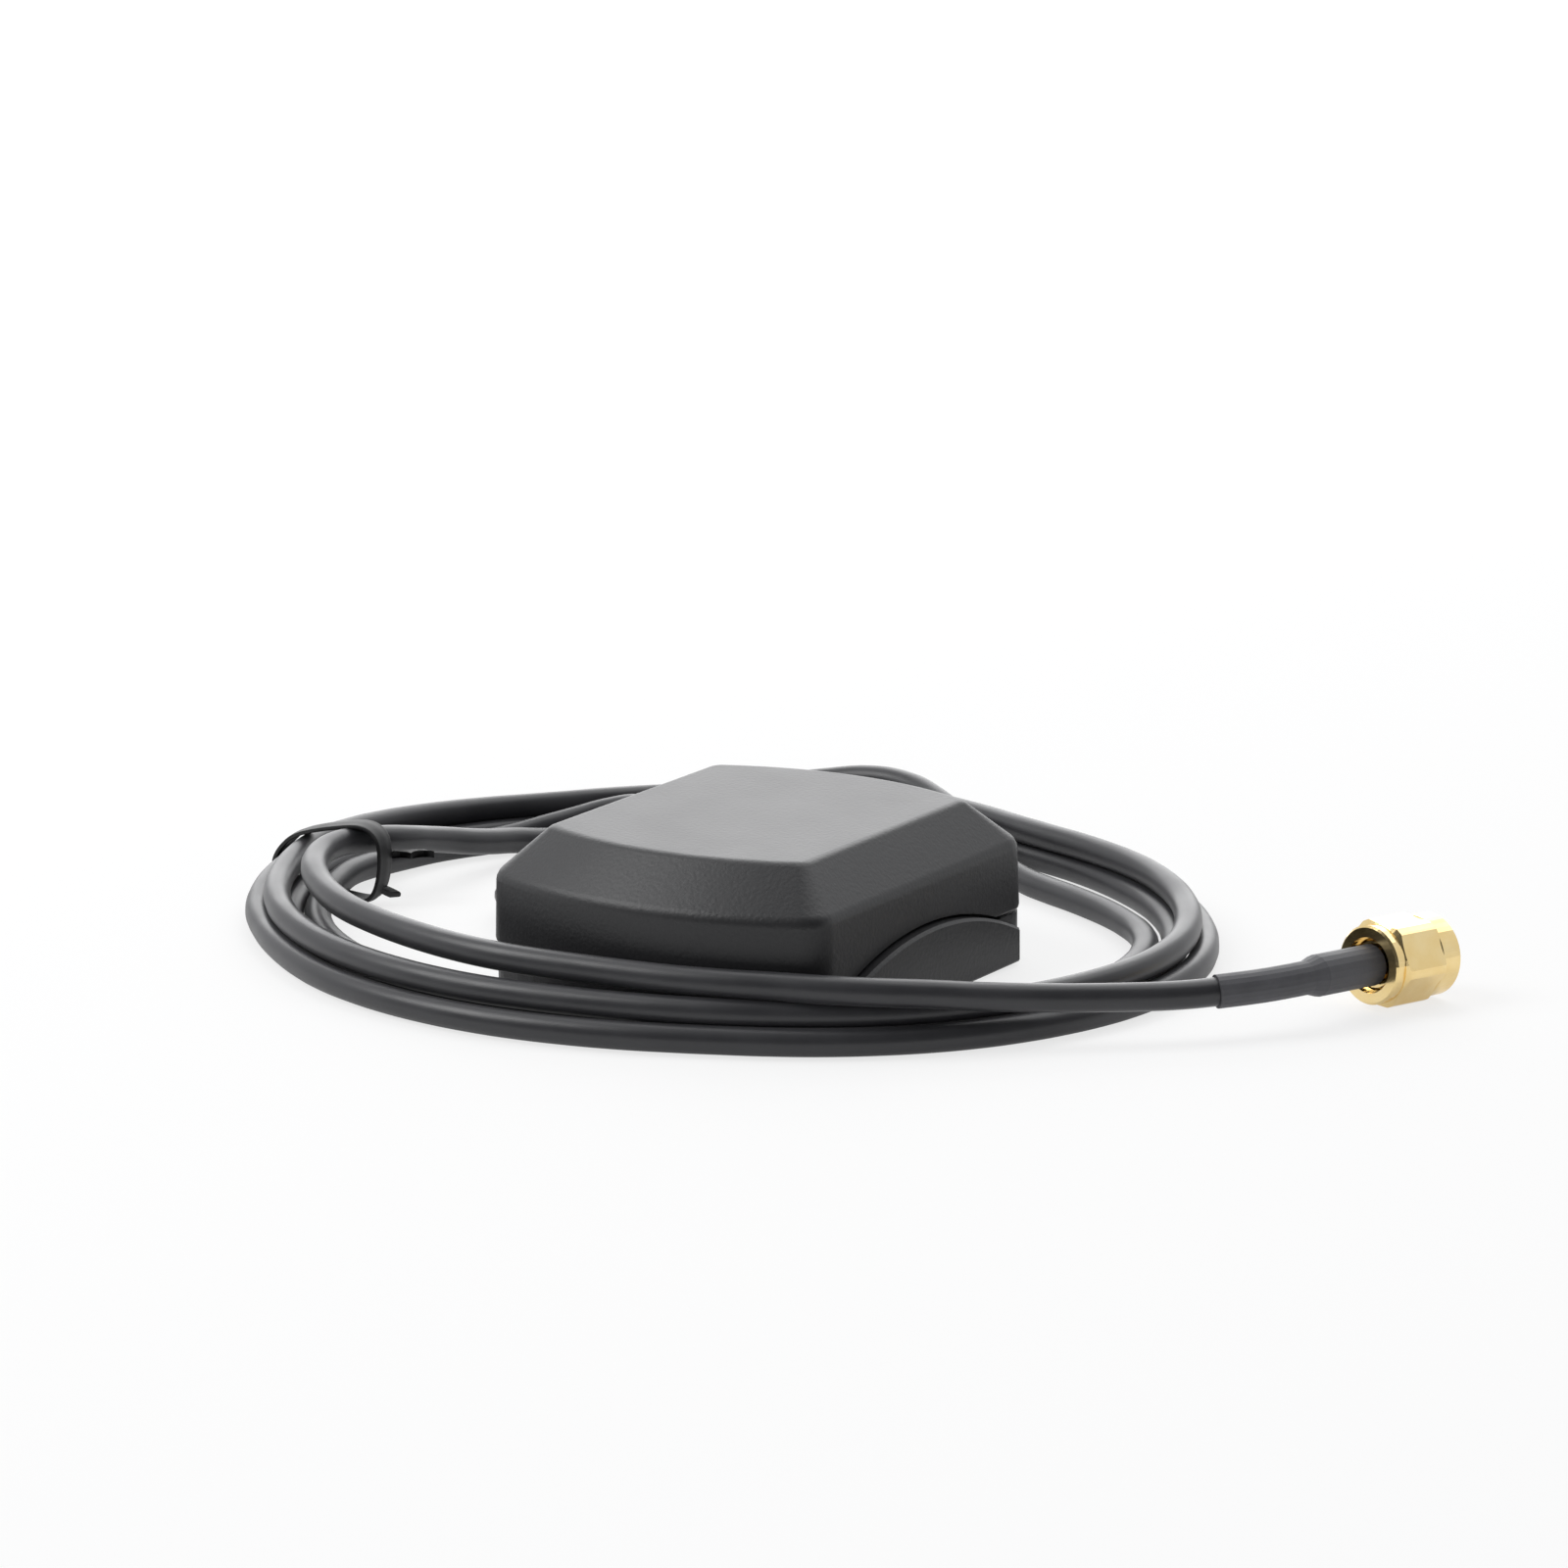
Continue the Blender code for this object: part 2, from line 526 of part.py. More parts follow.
def make_base(plastic):
    """Moulded base: tray with sealing lip, arched tongues, magnet pocket, screw pillars and board rails."""
    foot = inset(bowed_plan(WALL_HALF_WIDTH, WALL_HALF_LENGTH, WALL_BOW, WALL_CORNER), -WALL_DRAFT)
    side = inset(foot, BASE_INSET)
    lip = inset(foot, COVER_WALL + GAP)
    lip_top = inset(lip, WALL_DRAFT)
    groove_top = SEAL_GROOVE_HEIGHT + SEAL_GROOVE_WIDTH
    room = inset(lip_top, LIP_WALL)
    sections = [
        (inset(side, BASE_CHAMFER), BASE_BOTTOM_HEIGHT),
        (side, BASE_BOTTOM_HEIGHT + BASE_CHAMFER),
        (side, BASE_TOP_HEIGHT),
        (lip, BASE_TOP_HEIGHT),
        (lip, SEAL_GROOVE_HEIGHT),
        (inset(lip, SEAL_GROOVE_DEPTH), SEAL_GROOVE_HEIGHT),
        (inset(lip, SEAL_GROOVE_DEPTH), groove_top),
        (lip_top, groove_top),
        (lip_top, LIP_TOP_HEIGHT),
        (room, LIP_TOP_HEIGHT),
        (room, BASE_FLOOR_HEIGHT),
    ]
    base = loft("base_plate", [outline(plan, height) for plan, height in sections], plastic)

    additions = []
    for sign in (-1, 1):
        root = sign * (lip.half_width - LIP_WALL / 2)
        shoulder = sign * (TONGUE_FACE - TONGUE_CHAMFER)
        rings = [tongue_section(root), tongue_section(shoulder)]
        rings.append(tongue_section(sign * TONGUE_FACE, -TONGUE_CHAMFER, BASE_BOTTOM_HEIGHT + TONGUE_CHAMFER))
        additions.append(loft("tongue", rings))
    boolean(base, merged("base_tongues", additions), "UNION")

    inside = [cylinder("magnet_boss", MAGNET_BOSS_RADIUS, BASE_FLOOR_HEIGHT - GAP, MAGNET_BOSS_HEIGHT,
                       segments=ROUND_SEGMENTS)]
    for x, y in screw_places():
        inside.append(cylinder("pillar", PILLAR_RADIUS, BASE_FLOOR_HEIGHT - GAP, PILLAR_TOP_HEIGHT, x, y))
    boolean(base, merged("base_inside", inside), "UNION")

    rails = []
    for sign in (-1, 1):
        low = (-RAIL_HALF_LENGTH, sign * RAIL_Y - RAIL_HALF_THICKNESS, BASE_FLOOR_HEIGHT - 2 * GAP)
        high = (RAIL_HALF_LENGTH, sign * RAIL_Y + RAIL_HALF_THICKNESS, BOARD_BOTTOM_HEIGHT - GAP)
        rails.append(block("rail", low, high))
    boolean(base, merged("board_rails", rails), "UNION")

    pad_ring = rounded_rectangle(PAD_HALF_WIDTH + GAP, PAD_HALF_LENGTH + GAP, PAD_CORNER + GAP)
    recess = loft("pad_recess", [[Vector((x, y, z)) for x, y in pad_ring] for z in (-GAP, PAD_RECESS_HEIGHT)])
    boolean(base, recess, "DIFFERENCE")
    pocket = cylinder("magnet_pocket", MAGNET_RADIUS + GAP, PAD_RECESS_HEIGHT - 2 * GAP, MAGNET_ROOF_HEIGHT,
                      segments=ROUND_SEGMENTS)
    boolean(base, pocket, "DIFFERENCE")

    holes = []
    for x, y in screw_places():
        head = SCREW_HEAD_RADIUS + GAP
        profile = [(0.0, -GAP), (head, -GAP), (head, SCREW_HEAD_ROOF_HEIGHT)]
        profile += [(SCREW_HOLE_RADIUS, SCREW_HEAD_ROOF_HEIGHT)]
        profile += [(SCREW_HOLE_RADIUS, PILLAR_TOP_HEIGHT + GAP), (0.0, PILLAR_TOP_HEIGHT + GAP)]
        hole = turned("hole", profile, segments=SMALL_SEGMENTS)
        hole.location = (x, y, 0.0)
        holes.append(hole)
    boolean(base, merged("base_screw_holes", holes), "DIFFERENCE")

    cable_hole = cylinder("cable_hole", GROMMET_NECK_RADIUS + GAP, -TONGUE_FACE - 2 * GAP,
                          -(room.half_width - GAP), segments=24)
    cable_hole.rotation_euler = (0.0, math.radians(90), 0.0)
    cable_hole.location = (0.0, 0.0, CABLE_EXIT_HEIGHT)
    boolean(base, cable_hole, "DIFFERENCE")
    return room


def make_seal(rubber):
    """Rubber ring in the groove of the base's lip."""
    foot = inset(bowed_plan(WALL_HALF_WIDTH, WALL_HALF_LENGTH, WALL_BOW, WALL_CORNER), -WALL_DRAFT)
    lip = inset(foot, COVER_WALL + GAP)
    outer = inset(lip, -SEAL_PROUD)
    inner = inset(lip, SEAL_GROOVE_DEPTH - SEAL_GAP)
    low = SEAL_GROOVE_HEIGHT + SEAL_GAP
    high = SEAL_GROOVE_HEIGHT + SEAL_GROOVE_WIDTH - SEAL_GAP
    rings = [outline(outer, low), outline(outer, high), outline(inner, high), outline(inner, low)]
    loft("housing_gasket", rings, rubber, cyclic=True)


def make_fasteners_and_foot(steel, foam, magnet_steel):
    """Four screws, the pad that the puck stands on and the magnet above it."""
    for number, (x, y) in enumerate(screw_places(), start=1):
        low = SCREW_HEAD_TOP_HEIGHT - SCREW_HEAD_HEIGHT
        profile = [(0.0, low), (SCREW_HEAD_FACE_RADIUS, low), (SCREW_HEAD_RADIUS, low + SCREW_HEAD_EDGE)]
        profile += [(SCREW_HEAD_RADIUS, SCREW_HEAD_TOP_HEIGHT), (SCREW_SHANK_RADIUS, SCREW_HEAD_TOP_HEIGHT)]
        profile += [(SCREW_SHANK_RADIUS, SCREW_TIP_HEIGHT - SCREW_SHANK_RADIUS), (0.0, SCREW_TIP_HEIGHT)]
        screw = turned(f"base_screw_{number}", profile, steel, segments=SMALL_SEGMENTS)
        screw.location = (x, y, 0.0)

    ring = rounded_rectangle(PAD_HALF_WIDTH, PAD_HALF_LENGTH, PAD_CORNER)
    loft("foot_pad", [[Vector((x, y, z)) for x, y in ring] for z in (0.0, PAD_THICKNESS)], foam)

    low = PAD_RECESS_HEIGHT
    high = low + MAGNET_THICKNESS
    profile = [(0.0, low), (MAGNET_RADIUS - MAGNET_EDGE, low), (MAGNET_RADIUS, low + MAGNET_EDGE)]
    profile += [(MAGNET_RADIUS, high - MAGNET_EDGE), (MAGNET_RADIUS - MAGNET_EDGE, high), (0.0, high)]
    turned("magnet", profile, magnet_steel)


def make_board(laminate, tin, epoxy, ceramic_tan):
    """Amplifier board with the shield can and the parts on its underside."""
    ring = rounded_rectangle(BOARD_HALF_WIDTH, BOARD_HALF_LENGTH, BOARD_CORNER)
    heights = (BOARD_BOTTOM_HEIGHT, BOARD_TOP_HEIGHT)
    board = loft("amplifier_board", [[Vector((x, y, z)) for x, y in ring] for z in heights], laminate)
    hole = cylinder("board_feed_hole", FEED_HOLE_RADIUS, BOARD_BOTTOM_HEIGHT - GAP, BOARD_TOP_HEIGHT + GAP, y=FEED_Y)
    boolean(board, hole, "DIFFERENCE")

    outer = rounded_rectangle(SHIELD_HALF_WIDTH, SHIELD_HALF_LENGTH, 2 * SHIELD_WALL)
    room = rounded_rectangle(SHIELD_HALF_WIDTH - SHIELD_WALL, SHIELD_HALF_LENGTH - SHIELD_WALL, SHIELD_WALL)
    rings = [[Vector((x, y, SHIELD_BOTTOM_HEIGHT)) for x, y in outer]]
    rings.append([Vector((x, y, SHIELD_TOP_HEIGHT)) for x, y in outer])
    rings.append([Vector((x, y, SHIELD_TOP_HEIGHT)) for x, y in room])
    rings.append([Vector((x, y, SHIELD_BOTTOM_HEIGHT + SHIELD_WALL)) for x, y in room])
    loft("shield_can", rings, tin)

    top = BOARD_BOTTOM_HEIGHT - GAP
    half = CHIP_SIDE / 2
    block("amplifier_chip", (CHIP_X - half, -half, top - CHIP_HEIGHT), (CHIP_X + half, half, top), epoxy, GAP / 3)
    low = (FILTER_X - FILTER_LENGTH / 2, -FILTER_WIDTH / 2, top - FILTER_HEIGHT)
    high = (FILTER_X + FILTER_LENGTH / 2, FILTER_WIDTH / 2, top)
    block("saw_filter", low, high, tin, GAP / 3)

    number = 0
    for row in (-1, 1):
        for place in range(CAPACITORS_IN_ROW):
            number += 1
            x = (place - (CAPACITORS_IN_ROW - 1) / 2) * CAPACITOR_PITCH
            y = row * CAPACITOR_ROW_Y
            low = (x - CAPACITOR_LENGTH / 2, y - CAPACITOR_WIDTH / 2, top - CAPACITOR_HEIGHT)
            high = (x + CAPACITOR_LENGTH / 2, y + CAPACITOR_WIDTH / 2, top)
            block(f"chip_capacitor_{number}", low, high, ceramic_tan)


def make_patch(ceramic, silver, tape):
    """Ceramic patch glued on the board, its plated electrode and the pin that feeds it."""
    low = (-ADHESIVE_HALF_WIDTH, -ADHESIVE_HALF_LENGTH, ADHESIVE_BOTTOM_HEIGHT)
    high = (ADHESIVE_HALF_WIDTH, ADHESIVE_HALF_LENGTH, ADHESIVE_BOTTOM_HEIGHT + ADHESIVE_THICKNESS)
    pad = block("adhesive_pad", low, high, tape)
    low = (-PATCH_HALF_WIDTH, -PATCH_HALF_LENGTH, PATCH_BOTTOM_HEIGHT)
    high = (PATCH_HALF_WIDTH, PATCH_HALF_LENGTH, PATCH_TOP_HEIGHT)
    patch = block("ceramic_patch", low, high, ceramic, PATCH_EDGE_CHAMFER)

    wide = ELECTRODE_HALF_WIDTH
    long = ELECTRODE_HALF_LENGTH
    clip_x = wide - ELECTRODE_CLIP
    clip_y = long - ELECTRODE_CLIP
    corners = [(wide, -long), (wide, clip_y), (clip_x, long), (-wide, long), (-wide, -clip_y), (-clip_x, -long)]
    heights = (ELECTRODE_BOTTOM_HEIGHT, ELECTRODE_TOP_HEIGHT)
    electrode = loft("patch_electrode", [[Vector((x, y, z)) for x, y in corners] for z in heights], silver)

    hole = cylinder("patch_feed_hole", FEED_HOLE_RADIUS, BOARD_TOP_HEIGHT, ELECTRODE_TOP_HEIGHT + GAP, y=FEED_Y)
    for piece in (pad, patch, electrode):
        boolean(piece, hole, "DIFFERENCE")

    low = BOARD_BOTTOM_HEIGHT - FEED_PIN_BELOW_BOARD
    seat = FEED_SEAT_HEIGHT
    profile = [(0.0, low), (FEED_PIN_RADIUS, low), (FEED_PIN_RADIUS, seat), (FEED_HEAD_RADIUS, seat)]
    profile += [(FEED_HEAD_RADIUS / 2, seat + FEED_HEAD_HEIGHT - GAP / 3), (0.0, seat + FEED_HEAD_HEIGHT)]
    pin = turned("feed_pin", profile, silver, segments=SMALL_SEGMENTS)
    pin.location = (0.0, FEED_Y, 0.0)


def along_x(thing):
    """Lays a turned piece along X at the height of the cable's exit; its heights become X."""
    thing.rotation_euler = (0.0, math.radians(90), 0.0)
    thing.location = (0.0, 0.0, CABLE_EXIT_HEIGHT)


def make_cable_exit(rubber, jacket, braid, dielectric, room):
    """Grommet in the tongue at -X, and the cable's stripped end inside the puck."""
    neck_end = -(room.half_width + GAP)
    collar = GROMMET_REAR_X - GROMMET_COLLAR_WIDTH
    profile = [
        (GROMMET_BORE_RADIUS, neck_end), (GROMMET_NECK_RADIUS, neck_end),
        (GROMMET_NECK_RADIUS, GROMMET_REAR_X), (GROMMET_COLLAR_RADIUS, GROMMET_REAR_X),
        (GROMMET_COLLAR_RADIUS, collar), (GROMMET_NECK_RADIUS, collar),
        (GROMMET_NOSE_RADIUS, GROMMET_NOSE_X), (GROMMET_BORE_RADIUS, GROMMET_NOSE_X),
    ]
    along_x(turned("cable_grommet", profile, rubber, segments=24, closed=True))

    profile = [(0.0, GROMMET_NOSE_X), (CABLE_RADIUS, GROMMET_NOSE_X)]
    profile += [(CABLE_RADIUS, JACKET_INNER_END_X), (0.0, JACKET_INNER_END_X)]
    along_x(turned("cable_entry", profile, jacket, segments=SMALL_SEGMENTS))

    start = JACKET_INNER_END_X + GAP
    profile = [(0.0, start), (BRAID_RADIUS, start), (BRAID_RADIUS, start + BRAID_LENGTH)]
    profile += [(0.0, start + BRAID_LENGTH)]
    along_x(turned("cable_braid", profile, braid, segments=SMALL_SEGMENTS))

    core_start = start + BRAID_LENGTH + GAP
    solder_height = BOARD_BOTTOM_HEIGHT - GAP
    bend = (CORE_SOLDER_X - core_start) / 3
    route = [Vector((core_start, 0.0, CABLE_EXIT_HEIGHT))]
    route.append(Vector((core_start + bend, 0.0, CABLE_EXIT_HEIGHT)))
    route.append(Vector((core_start + 2 * bend, 0.0, CABLE_EXIT_HEIGHT + bend / 3)))
    route.append(Vector((CORE_SOLDER_X, 0.0, CABLE_EXIT_HEIGHT + 4 * bend / 3)))
    route.append(Vector((CORE_SOLDER_X, 0.0, solder_height)))
    add_tube("cable_core", route, CORE_RADIUS, dielectric)


def smooth_route(points, spacing):
    """Even points on a smooth curve through the given ones."""
    knots = [Vector(point) for point in points]
    before = 2 * knots[0] - knots[1]
    after = 2 * knots[-1] - knots[-2]
    knots = [before] + knots + [after]
    fine = []
    for a, b, c, d in zip(knots, knots[1:], knots[2:], knots[3:]):
        for step in range(ROUTE_STEPS):
            t = step / ROUTE_STEPS
            fine.append(0.5 * (2 * b + (c - a) * t + (2 * a - 5 * b + 4 * c - d) * t ** 2
                               + (3 * b - a - 3 * c + d) * t ** 3))
    fine.append(knots[-2])
    lengths = [0.0]
    for a, b in zip(fine, fine[1:]):
        lengths.append(lengths[-1] + (b - a).length)
    count = max(2, round(lengths[-1] / spacing))
    route = []
    index = 0
    for step in range(count + 1):
        wanted = lengths[-1] * step / count
        while index < len(fine) - 2 and lengths[index + 1] < wanted:
            index += 1
        share = (wanted - lengths[index]) / (lengths[index + 1] - lengths[index])
        route.append(fine[index].lerp(fine[index + 1], min(1.0, share)))
    return route


def add_tube(name, route, radius, surface):
    """A round tube with closed ends along a route."""
    curve = bpy.data.curves.new(name, "CURVE")
    curve.dimensions = "3D"
    curve.bevel_depth = radius
    curve.bevel_resolution = 2
    curve.use_fill_caps = True
    spline = curve.splines.new("POLY")
    spline.points.add(len(route) - 1)
    for point, place in zip(spline.points, route):
        point.co = (*place, 1.0)
    curve.materials.append(surface)
    thing = bpy.data.objects.new(name, curve)
    bpy.context.collection.objects.link(thing)
    return thing


def pinch(angle):
    """0 away from the tie and 1 under it."""
    away = abs((angle - TIE_ANGLE + math.pi) % (2 * math.pi) - math.pi)
    share = (TIE_PINCH_FADE_ANGLE - away) / (TIE_PINCH_FADE_ANGLE - TIE_PINCH_HALF_ANGLE)
    share = min(1.0, max(0.0, share))
    return share * share * (3 - 2 * share)


def reach(point, direction, oval_centre, oval_semi):
    """Distance from a point to an oval, along a direction, both in plan."""
    x, y = ((point[axis] - oval_centre[axis]) / oval_semi[axis] for axis in (0, 1))
    along_x_axis, along_y_axis = (direction[axis] / oval_semi[axis] for axis in (0, 1))
    a = along_x_axis ** 2 + along_y_axis ** 2
    b = x * along_x_axis + y * along_y_axis
    c = x ** 2 + y ** 2 - 1
    root = math.sqrt(b ** 2 - a * c)
    return min(((-b + root) / a, (-b - root) / a), key=abs)


def coil_section(angle):
    """Centre, half width, half height and outward direction of the bundle, square to its run."""
    semi = [(outer + inner) / 2 for outer, inner in zip(COIL_OUTER_SEMI, COIL_INNER_SEMI)]
    oval = [(outer + inner) / 2 for outer, inner in zip(COIL_OUTER_CENTRE, COIL_INNER_CENTRE)]
    middle = Vector((oval[0] + semi[0] * math.cos(angle), oval[1] + semi[1] * math.sin(angle), 0.0))
    outward = Vector((semi[1] * math.cos(angle), semi[0] * math.sin(angle), 0.0)).normalized()
    outer = middle + outward * reach(middle, outward, COIL_OUTER_CENTRE, COIL_OUTER_SEMI)
    inner = middle + outward * reach(middle, outward, COIL_INNER_CENTRE, COIL_INNER_SEMI)
    tied = pinch(angle)
    bottom = COIL_BOTTOM + tied * (TIE_THICKNESS + TIE_LIFT + GAP)
    top = COIL_BOTTOM + COIL_HEIGHT - tied * TIE_PINCH_SIDE
    half_width = (outer - inner).length / 2 - tied * TIE_PINCH_SIDE
    centre = (outer + inner) / 2 + Vector((0.0, 0.0, (bottom + top) / 2))
    return centre, half_width, (top - bottom) / 2, outward


def make_coil(jacket):
    """The bundle's outer shape as one ring: a rounded section carried round the oval."""
    rings = []
    for step in range(COIL_STEPS):
        angle = 2 * math.pi * step / COIL_STEPS
        centre, half_width, half_height, outward = coil_section(angle)
        section = rounded_rectangle(half_width, half_height, COIL_CORNER, steps=2)
        rings.append([centre + outward * across + Vector((0.0, 0.0, up)) for across, up in section])
    loft("cable_coil", rings, jacket, cyclic=True, smooth_angle=50)


def make_tie(plastic):
    """Flat wire tie round the bundle, with its two ends twisted together on the inner side."""
    centre, half_width, half_height, outward = coil_section(TIE_ANGLE)
    along = Vector((0.0, 0.0, 1.0)).cross(outward)
    inner = rounded_rectangle(half_width + GAP, half_height + GAP, COIL_CORNER + GAP)
    outer = rounded_rectangle(half_width + GAP + TIE_THICKNESS, half_height + GAP + TIE_THICKNESS,
                              COIL_CORNER + GAP + TIE_THICKNESS)
    rings = []
    for loop, shift in ((inner, -1), (outer, -1), (outer, 1), (inner, 1)):
        side = along * (shift * TIE_WIDTH / 2)
        rings.append([centre + side + outward * across + Vector((0.0, 0.0, up)) for across, up in loop])
    tie = loft("twist_tie", rings, plastic, cyclic=True)

    # The twisted ends: a square bar turned about its own length
    start = centre - outward * (half_width + GAP + TIE_THICKNESS / 2)
    heading = (-outward - along * TIE_TAIL_LEAN + Vector((0.0, 0.0, TIE_TAIL_RISE))).normalized()
    side = heading.cross(Vector((0.0, 0.0, 1.0))).normalized()
    up = side.cross(heading)
    rings = []
    for step in range(TIE_TAIL_STEPS + 1):
        share = step / TIE_TAIL_STEPS
        turn = 2 * math.pi * TIE_TAIL_TURNS * share
        place = start + heading * TIE_TAIL_LENGTH * share
        ring = []
        for corner in range(4):
            angle = turn + math.pi / 2 * corner
            ring.append(place + (side * math.cos(angle) + up * math.sin(angle)) * TIE_TAIL_SIDE / math.sqrt(2))
        rings.append(ring)
    boolean(tie, loft("tie_tail", rings, smooth_angle=20), "UNION")


def plug_frame():
    """Empty on the plug's axis: its Z runs from the nut's rear face to the front."""
    heading = Vector((math.cos(PLUG_HEADING) * math.cos(PLUG_PITCH),
                      math.sin(PLUG_HEADING) * math.cos(PLUG_PITCH), math.sin(PLUG_PITCH)))
    side = Vector((0.0, 0.0, 1.0)).cross(heading).normalized()
    up = heading.cross(side)
    turn = Matrix((side, up, heading)).transposed()
    frame = bpy.data.objects.new("plug_axis", None)
    frame.matrix_world = Matrix.Translation(PLUG_ORIGIN) @ turn.to_4x4()
    bpy.context.collection.objects.link(frame)
    return frame


def on_plug(frame, *things):
    """Hangs pieces on the plug's axis."""
    for thing in things:
        thing.parent = frame


def make_sleeve(shrink, frame):
    """Shrink sleeve: close on the cable at its rear, wider over the ferrule, open at its front."""
    heading = frame.matrix_world.to_3x3() @ Vector((0.0, 0.0, 1.0))
    origin = Vector(PLUG_ORIGIN)
    straight = [origin + heading * place for place in (SLEEVE_STEP_START, SLEEVE_STEP_END, FERRULE_REAR - GAP, 0.0)]
    straight.append(origin + heading * SLEEVE_FRONT)
    centres = smooth_route(SLEEVE_ROUTE + straight[:1], SLEEVE_SPACING) + straight[1:]
    radii = []
    for centre in centres:
        place = (centre - origin).dot(heading)
        share = min(1.0, max(0.0, (place - SLEEVE_STEP_START) / (SLEEVE_STEP_END - SLEEVE_STEP_START)))
        radii.append(SLEEVE_REAR_RADIUS + (SLEEVE_FRONT_RADIUS - SLEEVE_REAR_RADIUS) * share)
    bore = SLEEVE_FRONT_RADIUS - SLEEVE_WALL
    centres += [centres[-1], straight[2]]
    radii += [bore, bore]

    rings = []
    for index, (centre, radius) in enumerate(zip(centres, radii)):
        if index < len(centres) - 3:
            before = centres[max(0, index - 1)]
            tangent = (centres[index + 1] - before).normalized()
        else:
            tangent = heading
        side = Vector((0.0, 0.0, 1.0)).cross(tangent).normalized()
        up = tangent.cross(side)
        ring = []
        for corner in range(SLEEVE_SIDES):
            angle = 2 * math.pi * corner / SLEEVE_SIDES
            ring.append(centre + (side * math.cos(angle) + up * math.sin(angle)) * radius)
        rings.append(ring)
    loft("heat_shrink_sleeve", rings, shrink, smooth_angle=50)


def make_plug(gold, brass, white, rubber, frame):
    """Turned pieces of the plug, each about the plug's axis."""
    inner = FERRULE_RADIUS - FERRULE_WALL
    profile = [(inner, FERRULE_REAR), (FERRULE_RADIUS, FERRULE_REAR), (FERRULE_RADIUS, FERRULE_FRONT)]
    profile += [(inner, FERRULE_FRONT)]
    ferrule = turned("crimp_ferrule", profile, brass, segments=20, closed=True)

    spigot_rear = FERRULE_REAR + GAP
    profile = [
        (BODY_BORE_RADIUS, spigot_rear), (SPIGOT_RADIUS, spigot_rear), (SPIGOT_RADIUS, BODY_REAR),
        (BODY_RADIUS, BODY_REAR), (BODY_RADIUS, BODY_GROOVE_REAR), (BODY_GROOVE_RADIUS, BODY_GROOVE_REAR),
        (BODY_GROOVE_RADIUS, BODY_GROOVE_FRONT), (BODY_FLANGE_RADIUS, BODY_GROOVE_FRONT),
        (BODY_FLANGE_RADIUS, BODY_FLANGE_FRONT), (BODY_NOSE_RADIUS, BODY_FLANGE_FRONT),
        (BODY_NOSE_RADIUS, BODY_FRONT), (BODY_CUP_RADIUS, BODY_FRONT),
    ]
    bottom = BODY_GROOVE_RADIUS - 2 * GAP
    profile += [(BODY_CUP_RADIUS, BODY_GROOVE_FRONT + GAP), (bottom, BODY_GROOVE_FRONT + GAP)]
    profile += [(bottom, BODY_CUP_REAR), (BODY_BORE_RADIUS, BODY_CUP_REAR)]
    body = turned("connector_body", profile, gold, closed=True)

    ring_rear = (BODY_GROOVE_REAR + BODY_GROOVE_FRONT - RING_SECTION) / 2
    ring_inner = BODY_GROOVE_RADIUS + GAP
    ring_outer = (NUT_LIP_RADIUS + NUT_MOUTH_RADIUS) / 2
    profile = [(ring_inner, ring_rear), (ring_outer, ring_rear), (ring_outer, ring_rear + RING_SECTION)]
    profile += [(ring_inner, ring_rear + RING_SECTION)]
    snap_ring = turned("snap_ring", profile, brass, closed=True)

    wide = BODY_CUP_RADIUS - GAP
    narrow = bottom - GAP
    profile = [
        (BODY_BORE_RADIUS, BODY_CUP_REAR + GAP), (narrow, BODY_CUP_REAR + GAP), (narrow, BODY_GROOVE_FRONT + 2 * GAP),
        (wide, BODY_GROOVE_FRONT + 2 * GAP), (wide, BODY_FRONT), (BODY_BORE_RADIUS, BODY_FRONT),
    ]
    insulator = turned("insulator", profile, white, closed=True)

    tip = BODY_FRONT + PIN_PROUD
    profile = [
        (0.0, PIN_REAR), (PIN_RADIUS, PIN_REAR), (PIN_RADIUS, tip - PIN_TIP_LENGTH),
        (PIN_RADIUS / 3, tip), (0.0, tip),
    ]
    pin = turned("centre_pin", profile, gold, segments=SMALL_SEGMENTS)

    seal_inner = BODY_NOSE_RADIUS + GAP / 2
    seal_outer = NUT_MOUTH_RADIUS - GAP / 2
    seal_rear = BODY_FLANGE_FRONT + GAP / 2
    profile = [(seal_inner, seal_rear), (seal_outer, seal_rear), (seal_outer, BODY_FRONT - GAP)]
    profile += [(seal_inner, BODY_FRONT - GAP)]
    seal = turned("face_gasket", profile, rubber, closed=True)
    on_plug(frame, ferrule, body, snap_ring, insulator, pin, seal)


